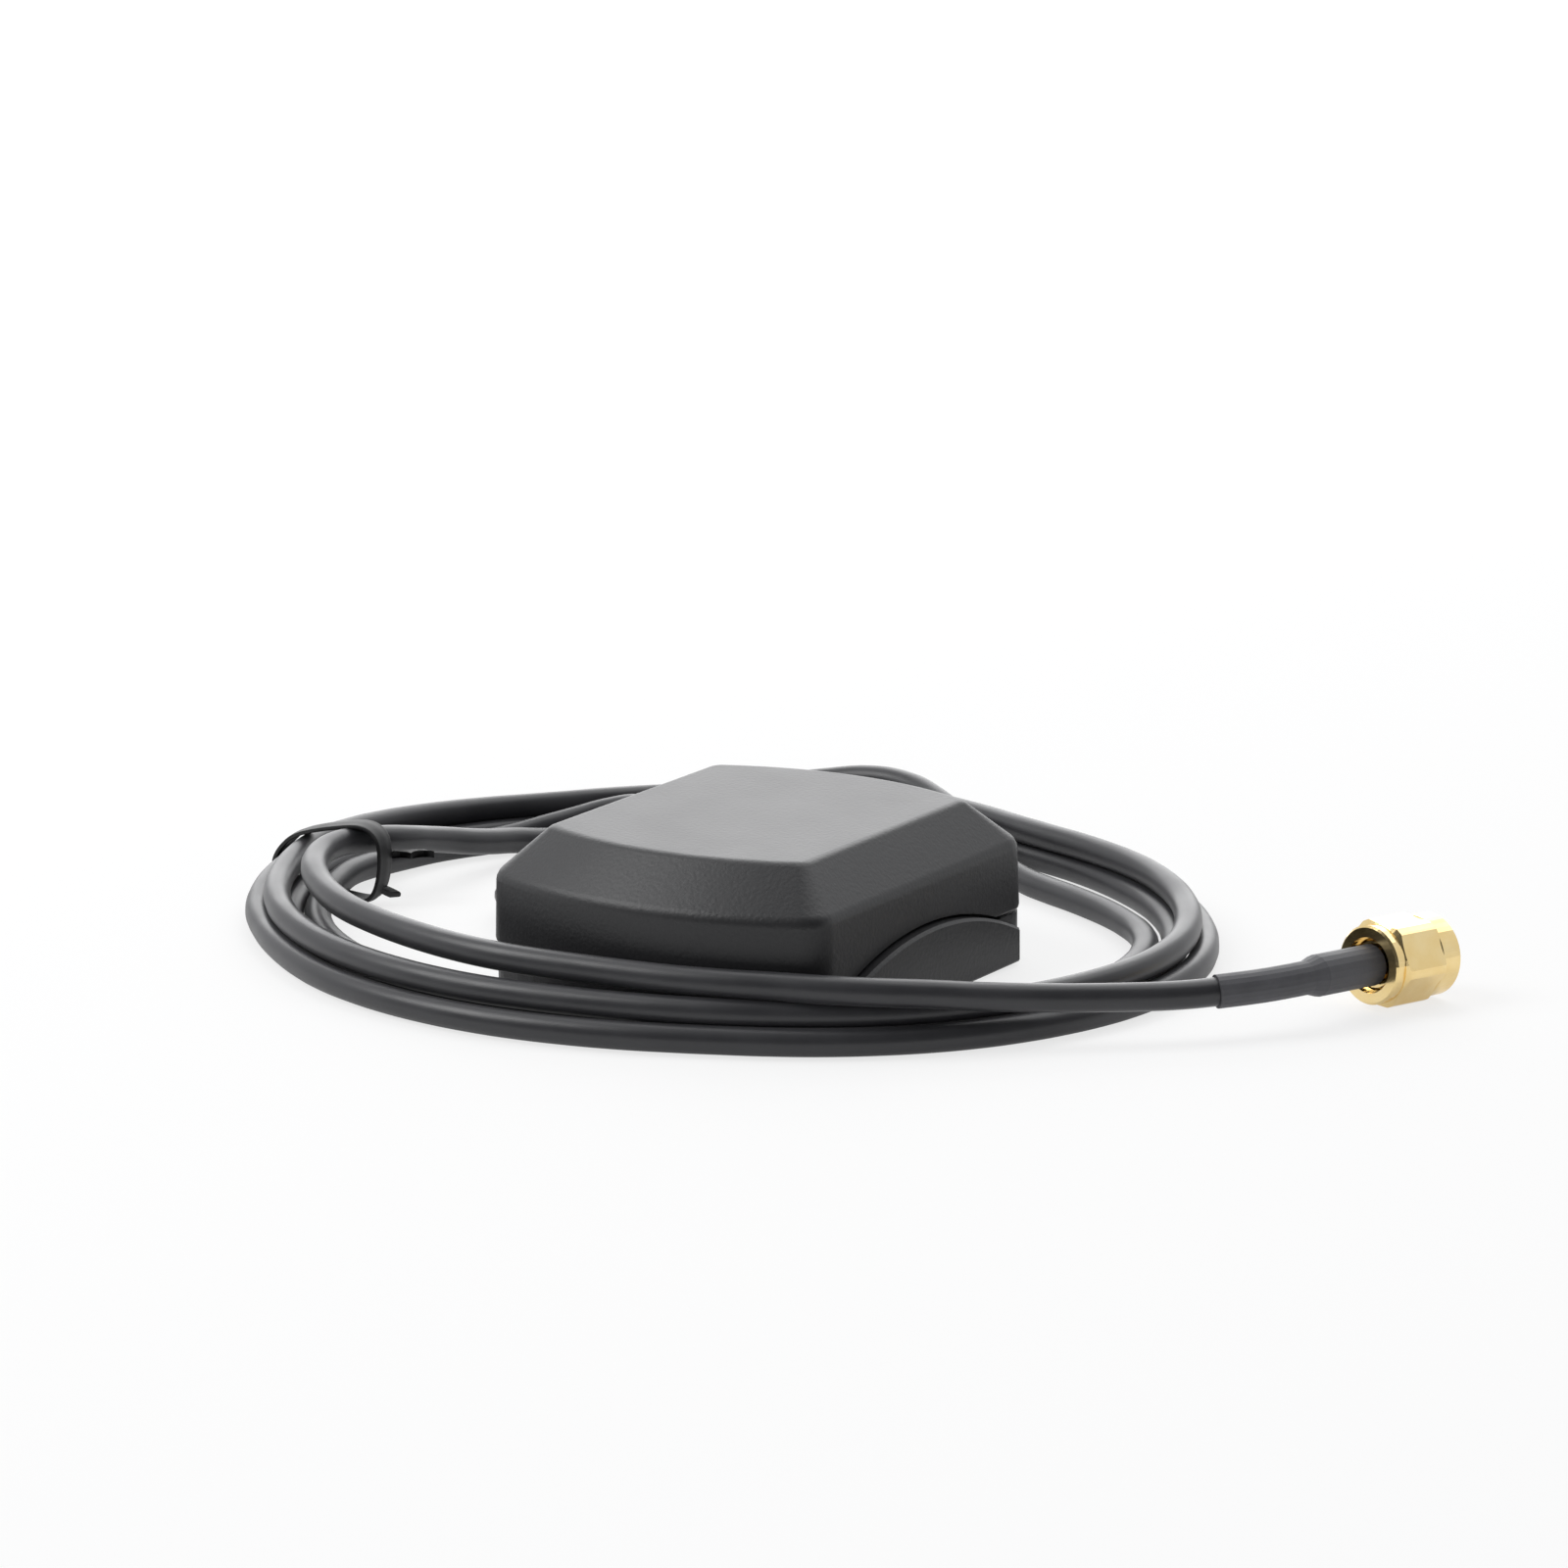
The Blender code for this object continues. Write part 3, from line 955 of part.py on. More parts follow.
def make_nut(gold, frame):
    """Coupling nut: a hexagon cut from round bar, a collar at each end of it and the stepped bore."""
    corner_radius = NUT_ACROSS_FLATS / 2 / math.cos(math.radians(30))
    hexagon = []
    for place in (NUT_HEX_REAR, NUT_HEX_FRONT):
        ring = []
        for corner in range(6):
            angle = math.radians(60 * corner) + NUT_TURN
            ring.append(Vector((corner_radius * math.cos(angle), corner_radius * math.sin(angle), place)))
        hexagon.append(ring)
    nut = loft("coupling_nut", hexagon, gold, smooth_angle=30)

    rear_slope = (NUT_BAR_RADIUS - NUT_REAR_COLLAR_RADIUS) * NUT_CORNER_SLOPE
    front_slope = (NUT_BAR_RADIUS - NUT_FRONT_COLLAR_RADIUS) * NUT_CORNER_SLOPE
    profile = [
        (0.0, 0.0), (NUT_REAR_COLLAR_RADIUS, 0.0), (NUT_REAR_COLLAR_RADIUS, NUT_HEX_REAR),
        (NUT_BAR_RADIUS, NUT_HEX_REAR + rear_slope), (NUT_BAR_RADIUS, NUT_HEX_FRONT - front_slope),
        (NUT_FRONT_COLLAR_RADIUS, NUT_HEX_FRONT), (NUT_FRONT_COLLAR_RADIUS, NUT_LENGTH), (0.0, NUT_LENGTH),
    ]
    bar = turned("nut_bar", profile, segments=NUT_SEGMENTS)
    boolean(nut, bar, "INTERSECT")

    inside = NUT_REAR_COLLAR_RADIUS - GAP
    profile = [
        (0.0, 0.0), (NUT_REAR_COLLAR_RADIUS - NUT_END_CHAMFER, 0.0), (NUT_REAR_COLLAR_RADIUS, NUT_END_CHAMFER),
        (NUT_REAR_COLLAR_RADIUS, NUT_HEX_REAR + GAP), (inside, NUT_HEX_REAR + 2 * GAP),
        (inside, NUT_HEX_FRONT - 2 * GAP), (NUT_FRONT_COLLAR_RADIUS, NUT_HEX_FRONT - FILM_GAP),
        (NUT_FRONT_COLLAR_RADIUS, NUT_LENGTH - NUT_END_CHAMFER),
        (NUT_FRONT_COLLAR_RADIUS - NUT_END_CHAMFER, NUT_LENGTH), (0.0, NUT_LENGTH),
    ]
    collars = turned("nut_collars", profile, segments=NUT_SEGMENTS)
    boolean(nut, collars, "UNION")

    mouth = NUT_MOUTH_RADIUS + NUT_MOUTH_CHAMFER
    profile = [
        (0.0, -GAP), (NUT_REAR_BORE_RADIUS, -GAP), (NUT_REAR_BORE_RADIUS, NUT_REAR_BORE_DEPTH),
        (NUT_LIP_RADIUS, NUT_REAR_BORE_DEPTH), (NUT_LIP_RADIUS, NUT_LIP_FRONT), (NUT_MOUTH_RADIUS, NUT_LIP_FRONT),
        (NUT_MOUTH_RADIUS, NUT_LENGTH - NUT_MOUTH_CHAMFER), (mouth, NUT_LENGTH), (mouth, NUT_LENGTH + GAP),
        (0.0, NUT_LENGTH + GAP),
    ]
    bore = turned("nut_bore", profile, segments=ROUND_SEGMENTS)
    boolean(nut, bore, "DIFFERENCE")
    on_plug(frame, nut, bar, collars, bore)


def main():
    for thing in list(bpy.data.objects):
        bpy.data.objects.remove(thing)

    black_plastic = material("black moulded plastic", (0.016, 0.016, 0.018), 0.55)
    black_rubber = material("black rubber", (0.010, 0.010, 0.010), 0.75)
    jacket = material("black cable jacket", (0.014, 0.014, 0.015), 0.40)
    shrink = material("black shrink sleeve", (0.022, 0.022, 0.024), 0.45)
    tie_plastic = material("black tie plastic", (0.008, 0.008, 0.009), 0.30)
    gold = material("gold plating", (0.80, 0.58, 0.26), 0.22, 1.0)
    brass = material("bright brass", (0.62, 0.48, 0.24), 0.30, 1.0)
    steel = material("zinc plated steel", (0.60, 0.60, 0.60), 0.35, 1.0)
    magnet_steel = material("nickel plated magnet", (0.55, 0.55, 0.56), 0.25, 1.0)
    tin = material("tinned sheet", (0.66, 0.66, 0.67), 0.30, 1.0)
    silver = material("silver plating", (0.82, 0.80, 0.76), 0.35, 1.0)
    braid = material("tinned copper braid", (0.60, 0.52, 0.44), 0.45, 1.0)
    laminate = material("green board", (0.03, 0.16, 0.07), 0.45)
    epoxy = material("black epoxy", (0.02, 0.02, 0.02), 0.50)
    ceramic_tan = material("capacitor ceramic", (0.45, 0.32, 0.20), 0.50)
    ceramic = material("patch ceramic", (0.62, 0.58, 0.50), 0.60)
    white = material("white insulator", (0.80, 0.80, 0.78), 0.45)
    tape = material("foam tape", (0.70, 0.70, 0.68), 0.80)

    make_cover(black_plastic)
    room = make_base(black_plastic)
    make_seal(black_rubber)
    make_fasteners_and_foot(steel, black_rubber, magnet_steel)
    make_board(laminate, tin, epoxy, ceramic_tan)
    make_patch(ceramic, silver, tape)
    make_cable_exit(black_rubber, jacket, braid, white, room)

    lead_start = (GROMMET_NOSE_X - GAP, 0.0, CABLE_EXIT_HEIGHT)
    add_tube("cable_lead", smooth_route([lead_start] + LEAD_ROUTE, ROUTE_SPACING), CABLE_RADIUS, jacket)
    make_coil(jacket)
    make_tie(tie_plastic)

    frame = plug_frame()
    sleeve_start = Vector(SLEEVE_ROUTE[0])
    back = (sleeve_start - Vector(SLEEVE_ROUTE[1])).normalized()
    tail_end = sleeve_start + back * GAP
    add_tube("cable_tail", smooth_route(TAIL_ROUTE + [tail_end], ROUTE_SPACING), CABLE_RADIUS, jacket)
    make_sleeve(shrink, frame)
    make_plug(gold, brass, white, black_rubber, frame)
    make_nut(gold, frame)


main()
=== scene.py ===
"""Magnetic puck antenna with a coiled coaxial cable, a twist tie and a gold-plated screw-on plug.

The camera, the table and the lights come first. The object follows as it is put together: the cable and its
tie, the puck from its base up to its cover, and the sleeve and the plug at the cable's far end.
"""
import math

import bpy
from mathutils import Matrix, Vector


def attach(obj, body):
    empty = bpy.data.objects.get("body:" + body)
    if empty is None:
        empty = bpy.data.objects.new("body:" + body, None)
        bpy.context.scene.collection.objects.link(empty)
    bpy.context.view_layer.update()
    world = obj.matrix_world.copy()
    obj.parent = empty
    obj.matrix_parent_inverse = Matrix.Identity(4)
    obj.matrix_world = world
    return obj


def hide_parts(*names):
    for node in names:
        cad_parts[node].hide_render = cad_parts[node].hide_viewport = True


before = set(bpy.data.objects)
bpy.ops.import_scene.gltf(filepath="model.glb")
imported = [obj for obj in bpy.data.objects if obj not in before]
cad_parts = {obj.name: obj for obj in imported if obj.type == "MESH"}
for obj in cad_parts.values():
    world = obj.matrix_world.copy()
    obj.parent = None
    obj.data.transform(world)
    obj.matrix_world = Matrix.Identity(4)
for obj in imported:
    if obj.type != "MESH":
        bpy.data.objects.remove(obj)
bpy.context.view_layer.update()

# Camera: a long lens from the front right, a little above the table.
# Its three axes are given one by one, so that it keeps the slight tilt of the photograph.
eye = Vector((0.32919, -0.50199, 0.16610))
right = Vector((0.83987, 0.54269, -0.01018))
up = Vector((-0.12062, 0.20490, 0.97132))
backward = Vector((0.52921, -0.81456, 0.23755))
camera = bpy.data.objects.new("camera", bpy.data.cameras.new("camera"))
bpy.context.collection.objects.link(camera)
camera.matrix_world = Matrix.Translation(eye) @ Matrix((right, up, backward)).transposed().to_4x4()
camera.data.lens = 143.72
camera.data.sensor_width = 36.0
camera.data.clip_start = 0.01
camera.data.clip_end = 20.0
bpy.context.scene.camera = camera
bpy.context.scene.view_settings.view_transform = "Standard"


def add_node(tree, kind, settings=None, **links):
    """A shader node with its settings; each link names an input and gives a socket or a value.

    A link such as i0 or i6 means the input of that number, for nodes whose inputs share a name.
    """
    made = tree.nodes.new(kind)
    for name, value in (settings or {}).items():
        setattr(made, name, value)
    for name, value in links.items():
        numbered = name[0] == "i" and name[1:].isdigit()
        socket = made.inputs[int(name[1:]) if numbered else name.replace("_", " ")]
        if isinstance(value, bpy.types.NodeSocket):
            tree.links.new(value, socket)
        else:
            socket.default_value = value
    return made


def linear(code):
    """An sRGB hex colour as linear red, green, blue and alpha."""
    parts = [int(code[place:place + 2], 16) / 255 for place in (1, 3, 5)]
    return [part / 12.92 if part <= 0.04045 else ((part + 0.055) / 1.055) ** 2.4 for part in parts] + [1.0]


# Table: a white sweep that shows as white paper and still takes the antenna's soft shadow.
# It lies a hair below the antenna's foot, so that the two faces don't flicker through each other.
TABLE_SIZE = 6.0
TABLE_DROP = 0.0001
PAPER_GLOW = 0.75             # share of the paper's white that is glow and takes no shadow
PAPER_GLOW_MIRRORED = 0.5     # how much of that glow black plastic and gold reflect
bpy.ops.object.select_all(action="DESELECT")
bpy.ops.mesh.primitive_plane_add(size=TABLE_SIZE, location=(0.0, 0.0, -TABLE_DROP))
table = bpy.context.object
table.name = "table"
paper = bpy.data.materials.new("white sweep paper")
paper.use_nodes = True
tree = paper.node_tree
tree.nodes.clear()
ray = add_node(tree, "ShaderNodeLightPath")
diffuse = add_node(tree, "ShaderNodeBsdfDiffuse", Color=linear("#f2f2f2"))
glow = add_node(tree, "ShaderNodeEmission", Color=linear("#ffffff"), Strength=1.0)
seen = add_node(tree, "ShaderNodeMapRange", Value=ray.outputs["Is Glossy Ray"],
                To_Min=ray.outputs["Is Camera Ray"], To_Max=PAPER_GLOW_MIRRORED)
glowing = add_node(tree, "ShaderNodeMath", {"operation": "MULTIPLY"}, i0=seen.outputs[0], i1=PAPER_GLOW)
mixed = add_node(tree, "ShaderNodeMixShader", i0=glowing.outputs[0], i1=diffuse.outputs[0],
                 i2=glow.outputs[0])
add_node(tree, "ShaderNodeOutputMaterial", Surface=mixed.outputs[0])
table.data.materials.append(paper)

# Studio: white all round but for the dark room behind the photographer, which black plastic and gold reflect.
# A soft box hangs overhead, a low one behind the antenna lights its top at a glancing angle, and a small one
# stands at the front left.
ROOM_LEVEL = 0.45             # light that the white walls give to matt surfaces
BRIGHT_LEVEL = 0.9            # what shiny surfaces reflect of the white walls
DARK_LEVEL = 0.10             # and of the dark side
DARK_BEGINS = -0.05           # cosine of the angle to the photographer, where the dark begins
DARK_FULL = 0.50              # and where it is full
world = bpy.data.worlds.new("white studio")
bpy.context.scene.world = world
world.use_nodes = True
tree = world.node_tree
tree.nodes.clear()
ray = add_node(tree, "ShaderNodeLightPath")
way = add_node(tree, "ShaderNodeTexCoord")
towards = add_node(tree, "ShaderNodeVectorMath", {"operation": "DOT_PRODUCT"}, i0=way.outputs["Generated"],
                   i1=tuple(backward))
mirrored = add_node(tree, "ShaderNodeMapRange", {"interpolation_type": "SMOOTHSTEP"},
                    Value=towards.outputs["Value"], From_Min=DARK_BEGINS, From_Max=DARK_FULL,
                    To_Min=BRIGHT_LEVEL, To_Max=DARK_LEVEL)
strength = add_node(tree, "ShaderNodeMapRange", Value=ray.outputs["Is Glossy Ray"], To_Min=ROOM_LEVEL,
                    To_Max=mirrored.outputs[0])
room = add_node(tree, "ShaderNodeBackground", Color=linear("#f7f8fa"), Strength=strength.outputs[0])
white = add_node(tree, "ShaderNodeBackground", Color=linear("#ffffff"), Strength=1.0)
seen = add_node(tree, "ShaderNodeMath", {"operation": "MAXIMUM"}, i0=ray.outputs["Is Camera Ray"],
                i1=ray.outputs["Is Transmission Ray"])
mixed = add_node(tree, "ShaderNodeMixShader", i0=seen.outputs[0], i1=room.outputs[0], i2=white.outputs[0])
add_node(tree, "ShaderNodeOutputWorld", Surface=mixed.outputs[0])

for name, place, size, watts in (
    ("overhead", (0.00, 0.42, 0.75), 0.80, 2.4),
    ("behind", (-0.48, 0.73, 0.32), 0.80, 4.2),
    ("front_left", (-0.44, -0.34, 0.58), 0.40, 2.8),
):
    lamp = bpy.data.objects.new(name, bpy.data.lights.new(name, "AREA"))
    lamp.data.shape = "SQUARE"
    lamp.data.size = size
    lamp.data.energy = watts
    lamp.location = place
    lamp.rotation_mode = "QUATERNION"
    lamp.rotation_quaternion = (Vector((0.0, 0.0, 0.0)) - Vector(place)).to_track_quat("-Z", "Y")
    lamp.visible_camera = False
    bpy.context.collection.objects.link(lamp)

# Cable: thin coaxial cable, a copper core and braid in an extruded vinyl jacket 2.8 mm across.
# It leaves the puck behind, crosses the inner strand in a low hump, goes four and a half times round
# and ends in the plug.
CABLE_RADIUS = 0.0014
REST = 0.00145                # height of a strand's middle where it lies on the table
OVAL_CENTRE = (-0.0110, 0.01105)
OVAL_SEMI = (0.0512, 0.0434)  # of the outermost strand
# The lead behind the puck and the tail up to the sleeve are points given one by one, in metres.
lead = [
    (-0.0239, 0.0000, 0.0040), (-0.0260, 0.0000, 0.0039), (-0.0291, 0.0006, 0.0036),
    (-0.0319, 0.0023, 0.0030), (-0.0341, 0.0050, 0.0024), (-0.0351, 0.0083, 0.0019),
    (-0.0350, 0.0117, 0.0016), (-0.0339, 0.0147, REST), (-0.0322, 0.0167, REST),
    (-0.0300, 0.0187, REST), (-0.0279, 0.0213, REST), (-0.0267, 0.0244, REST),
    (-0.0266, 0.0278, 0.0016), (-0.0277, 0.0310, 0.0019), (-0.0298, 0.0337, 0.0025),
    (-0.0326, 0.0356, 0.0032), (-0.0359, 0.0365, 0.0039), (-0.0393, 0.0363, 0.00425),
    (-0.0424, 0.0349, 0.0037), (-0.0447, 0.0329, 0.0030), (-0.0468, 0.0304, 0.0024),
    (-0.0489, 0.0277, 0.0018), (-0.0507, 0.0248, 0.0015), (-0.0524, 0.0219, REST),
    (-0.0537, 0.0188, REST), (-0.0545, 0.0156, REST),
]
tail = [
    (0.0390, -0.0074, 0.0048), (0.0414, -0.0057, 0.00475), (0.0440, -0.0037, 0.0047),
    (0.0465, -0.0016, 0.00465), (0.0487, 0.0005, 0.00465), (0.0504, 0.0024, 0.0047),
    (0.0522, 0.0044, 0.0048), (0.0538, 0.0064, 0.0049), (0.0551, 0.0084, 0.0050),
]
# How the strands lie in the bundle: angle round the oval in degrees, then millimetres out from the
# outermost strand and height of the strand's middle. Each turn drops inward and the last one lies on top.
TURNS = [
    (178, -7.4, 1.6), (189, -7.2, 1.95), (200, -7.0, 1.55), (225, -6.6, 1.45), (250, -6.3, 1.45),
    (270, -6.6, 1.45), (290, -6.8, 1.45), (310, -6.8, 1.45), (335, -6.4, 1.45), (360, -6.3, 1.45),
    (384, -7.1, 1.45), (398, -9.1, 1.45), (410, -10.7, 1.45), (420, -11.4, 1.45), (428, -11.2, 1.9),
    (436, -9.6, 3.4), (444, -7.0, 5.2), (452, -3.8, 6.5), (459, -2.2, 6.7), (466, -2.0, 5.9),
    (474, -2.3, 4.8), (482, -3.0, 4.0), (495, -4.4, 3.95), (504, -4.2, 3.75), (513, -3.5, 3.75),
    (523, -3.0, 3.95), (538, -2.6, 4.3), (549, -2.6, 4.4), (565, -2.8, 4.05), (593, -2.3, 3.87),
    (610, -1.9, 3.87), (625, -2.0, 3.8), (642, -2.6, 3.75), (660, -2.3, 3.75), (680, -1.9, 3.55),
    (700, -1.7, 3.7), (720, -1.7, 3.87), (745, -2.8, 3.95), (768, -3.5, 4.1), (784, -4.2, 4.15),
    (795, -4.0, 4.15), (808, -1.6, 4.1), (819, 0.4, 4.1), (827, 0.8, 3.3), (835, 0.6, 2.1),
    (842, -0.2, 1.5), (855, -2.2, 1.45), (870, -1.7, 1.45), (885, -0.8, 1.6), (898, -0.4, 2.2),
    (909, -0.5, 2.5), (920, -0.6, 2.1), (930, -0.7, 1.6), (941, -1.1, 1.45), (953, -0.9, 1.45),
    (965, -0.3, 1.45), (977, 0.0, 1.45), (990, -0.05, 1.45), (1003, -0.5, 1.45), (1016, -0.9, 1.45),
    (1030, -0.3, 1.45), (1045, 0.2, 1.45), (1060, 0.2, 1.45), (1075, 0.1, 1.45), (1090, -0.4, 1.45),
    (1105, -1.1, 1.45), (1120, -1.3, 1.45), (1140, -0.6, 1.45), (1151, -0.2, 1.55), (1164, 0.0, 1.8),
    (1176, -0.5, 1.6), (1190, -2.2, 1.45), (1202, -3.6, 1.45), (1215, -5.5, 1.45), (1230, -5.1, 1.45),
    (1245, -4.4, 1.45), (1258, -4.1, 1.6), (1269, -4.2, 1.95), (1280, -4.2, 1.55), (1290, -4.0, 1.45),
    (1305, -3.7, 1.45), (1330, -3.3, 1.45), (1345, -3.7, 1.45), (1362, -4.0, 1.45), (1380, -3.9, 1.45),
    (1400, -3.6, 1.45), (1420, -3.1, 1.45), (1440, -3.3, 1.45), (1465, -4.1, 1.45), (1490, -4.4, 1.45),
    (1505, -4.2, 1.45), (1520, -4.0, 1.45), (1535, -4.6, 1.45), (1550, -6.6, 1.45), (1563, -8.6, 1.45),
    (1576, -10.3, 1.45), (1587, -11.1, 1.6), (1595, -11.7, 2.3), (1603, -12.8, 3.0), (1612, -12.8, 4.0),
    (1621, -12.6, 5.0), (1628, -11.9, 5.8), (1634, -9.4, 6.3), (1640, -7.6, 6.5), (1649, -6.7, 6.5),
    (1665, -6.4, 6.5), (1677, -6.0, 6.5), (1690, -5.7, 6.5), (1707, -4.9, 6.5), (1721, -4.9, 6.4),
    (1733, -3.9, 6.35), (1745, -2.6, 6.3), (1756, -0.6, 6.1), (1763, 0.0, 5.7), (1769, 0.9, 5.25),
]
STEP = 6                      # degrees from one point of the coil to the next


def between(before, first, second, after, share):
    """A smooth value a share of the way from the first to the second of four in a row."""
    rise = second - before
    bend = 2 * before - 5 * first + 4 * second - after
    twist = 3 * first - before - 3 * second + after
    return 0.5 * (2 * first + rise * share + bend * share ** 2 + twist * share ** 3)


coil = []
row = 0
for angle in range(TURNS[0][0], TURNS[-1][0] + 1, STEP):
    while row < len(TURNS) - 2 and TURNS[row + 1][0] < angle:
        row += 1
    share = (angle - TURNS[row][0]) / (TURNS[row + 1][0] - TURNS[row][0])
    four = [TURNS[min(max(row + shift, 0), len(TURNS) - 1)] for shift in (-1, 0, 1, 2)]
    out, height = (between(*(known[column] for known in four), share) / 1000 for column in (1, 2))
    cosine = math.cos(math.radians(angle))
    sine = math.sin(math.radians(angle))
    outward = Vector((OVAL_SEMI[1] * cosine, OVAL_SEMI[0] * sine, 0.0)).normalized()
    oval = Vector((OVAL_CENTRE[0] + OVAL_SEMI[0] * cosine, OVAL_CENTRE[1] + OVAL_SEMI[1] * sine, 0.0))
    coil.append(oval + outward * out + Vector((0.0, 0.0, height)))

route = [Vector(point) for point in lead] + coil + [Vector(point) for point in tail]
curve = bpy.data.curves.new("cable", "CURVE")
curve.dimensions = "3D"
curve.bevel_depth = CABLE_RADIUS
curve.bevel_resolution = 6
curve.resolution_u = 5
curve.use_fill_caps = True
spline = curve.splines.new("BEZIER")
spline.bezier_points.add(len(route) - 1)
for point, where in zip(spline.bezier_points, route):
    point.co = where
    point.handle_left_type = "AUTO"
    point.handle_right_type = "AUTO"
cable = bpy.data.objects.new("cable", curve)
bpy.context.collection.objects.link(cable)


def surface(name, dark, light, patch, rough, grain, depth, ior=None, metallic=0.0):
    """A material whose surface varies as a real one does; patch, grain and depth are in millimetres.

    Its colour wanders between two shades over patches, its roughness goes between two values with it, and a
    fine grain of a depth roughens it. What is added to one finds its nodes by their names, place and tint.
    """
    made = bpy.data.materials.new(name)
    made.use_nodes = True
    tree = made.node_tree
    skin = tree.nodes["Principled BSDF"]
    skin.inputs["Metallic"].default_value = metallic
    if ior:
        skin.inputs["IOR"].default_value = ior
    place = add_node(tree, "ShaderNodeTexCoord", {"name": "place"})
    where = place.outputs["Object"]
    clouds = add_node(tree, "ShaderNodeTexNoise", Vector=where, Scale=1000 / patch, Detail=3.0)
    spread = add_node(tree, "ShaderNodeMapRange", Value=clouds.outputs[0], From_Min=0.3, From_Max=0.7)
    tint = add_node(tree, "ShaderNodeMix", {"name": "tint", "data_type": "RGBA"}, i0=spread.outputs[0],
                    i6=linear(dark), i7=linear(light))
    worn = add_node(tree, "ShaderNodeMapRange", Value=spread.outputs[0], To_Min=rough[0], To_Max=rough[1])
    specks = add_node(tree, "ShaderNodeTexNoise", Vector=where, Scale=1000 / grain, Detail=1.0)
    bump = add_node(tree, "ShaderNodeBump", Height=specks.outputs[0], Distance=depth / 1000)
    tree.links.new(tint.outputs[2], skin.inputs["Base Color"])
    tree.links.new(worn.outputs[0], skin.inputs["Roughness"])
    tree.links.new(bump.outputs[0], skin.inputs["Normal"])
    return made


# Soft vinyl: near black, smooth from the die, with a satin shine that is a little uneven from handling.
vinyl = surface("extruded vinyl jacket", "#29292c", "#333336", patch=7.0, rough=(0.35, 0.43), grain=0.25,
                depth=0.004, ior=1.53)
vinyl.node_tree.nodes["Principled BSDF"].inputs["Sheen Weight"].default_value = 0.05
curve.materials.append(vinyl)
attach(cable, "antenna")
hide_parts("cable_lead", "cable_coil", "cable_tail")

# Twist tie: a flat strip of glossy vinyl with a wire along its middle, wound once round the strands.
# It starts as a closed loop of points, which is drawn out sideways to the strip's width in four rows.
# The middle row is lifted over the wire, and then the strip gets its thickness and soft edges.
TIE_WIDTH = 0.0027
TIE_THICKNESS = 0.00045
TIE_RIDGE = 0.00014           # how far the wire lifts the middle of the strip
TIE_EDGE = 0.0001             # width of the strip's rounded edges
TIE_ROWS = 4
TIE_PATH = [                  # once round the bundle, in millimetres
    (-58.0, 3.0, 0.36), (-60.6, 3.4, 0.62), (-62.1, 3.6, 1.35), (-62.75, 3.7, 2.5), (-62.2, 3.7, 3.8),
    (-61.2, 3.7, 4.9), (-60.2, 3.65, 5.65), (-58.6, 3.5, 6.35), (-55.6, 3.2, 7.2), (-52.4, 2.9, 7.9),
    (-50.6, 2.7, 8.1), (-49.1, 2.5, 7.8), (-48.1, 2.3, 6.9), (-47.8, 2.2, 5.4), (-47.9, 2.2, 3.8),
    (-48.2, 2.0, 2.1), (-48.8, 1.7, 0.95), (-50.2, 1.7, 0.42), (-54.0, 2.4, 0.36),
]
TIE_PARTS = 3                 # points of the loop for each point of the path
TIE_ACROSS = Vector((0.16, -0.98, 0.0)).normalized()   # the way that the strands run there
SOFT_TURN = math.radians(40)  # faces that meet at less than this are shaded as one
loop = []
for index in range(len(TIE_PATH)):
    four = [Vector(TIE_PATH[(index + shift) % len(TIE_PATH)]) / 1000 for shift in (-1, 0, 1, 2)]
    loop += [between(*four, part / TIE_PARTS) for part in range(TIE_PARTS)]
bpy.ops.object.select_all(action="DESELECT")
bpy.ops.mesh.primitive_circle_add(vertices=len(loop), radius=0.01)
tie = bpy.context.object
tie.name = "twist_tie_strip"
for vertex, spot in zip(tie.data.vertices, loop):
    vertex.co = spot - TIE_ACROSS * TIE_WIDTH / 2
bpy.ops.object.mode_set(mode="EDIT")
bpy.ops.mesh.select_all(action="SELECT")
for row in range(TIE_ROWS):
    bpy.ops.mesh.extrude_region_move(TRANSFORM_OT_translate={"value": TIE_ACROSS * TIE_WIDTH / TIE_ROWS})
bpy.ops.mesh.select_all(action="SELECT")
bpy.ops.mesh.normals_make_consistent(inside=False)
bpy.ops.object.mode_set(mode="OBJECT")


def flattened(step):
    """A step as it looks along the strands, without its share across the strip."""
    return step - TIE_ACROSS * step.dot(TIE_ACROSS)


middle = sum(loop, Vector()) / len(loop)
for vertex in tie.data.vertices:
    nearest = min(loop, key=lambda spot: flattened(vertex.co - spot).length)
    if abs((vertex.co - nearest).dot(TIE_ACROSS)) < TIE_WIDTH / TIE_ROWS / 2:
        vertex.co += flattened(vertex.co - middle).normalized() * TIE_RIDGE
for kind, settings in (
    ("SOLIDIFY", {"thickness": TIE_THICKNESS, "offset": 0.0}),
    ("BEVEL", {"width": TIE_EDGE, "segments": 2, "limit_method": "ANGLE"}),
    ("SUBSURF", {"levels": 1, "render_levels": 1}),
):
    modifier = tie.modifiers.new(kind.lower(), kind)
    for name, value in settings.items():
        setattr(modifier, name, value)
    bpy.ops.object.modifier_apply(modifier=modifier.name)
bpy.ops.object.shade_smooth_by_angle(angle=SOFT_TURN)

# Plasticised vinyl with a calendered, glossy skin: blacker and shinier than the cable's jacket.
tie_vinyl = surface("glossy vinyl strip", "#0b0b0c", "#121214", patch=3.0, rough=(0.50, 0.58), grain=0.3,
                    depth=0.006, ior=1.5)
tie.data.materials.append(tie_vinyl)
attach(tie, "antenna")
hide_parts("twist_tie")

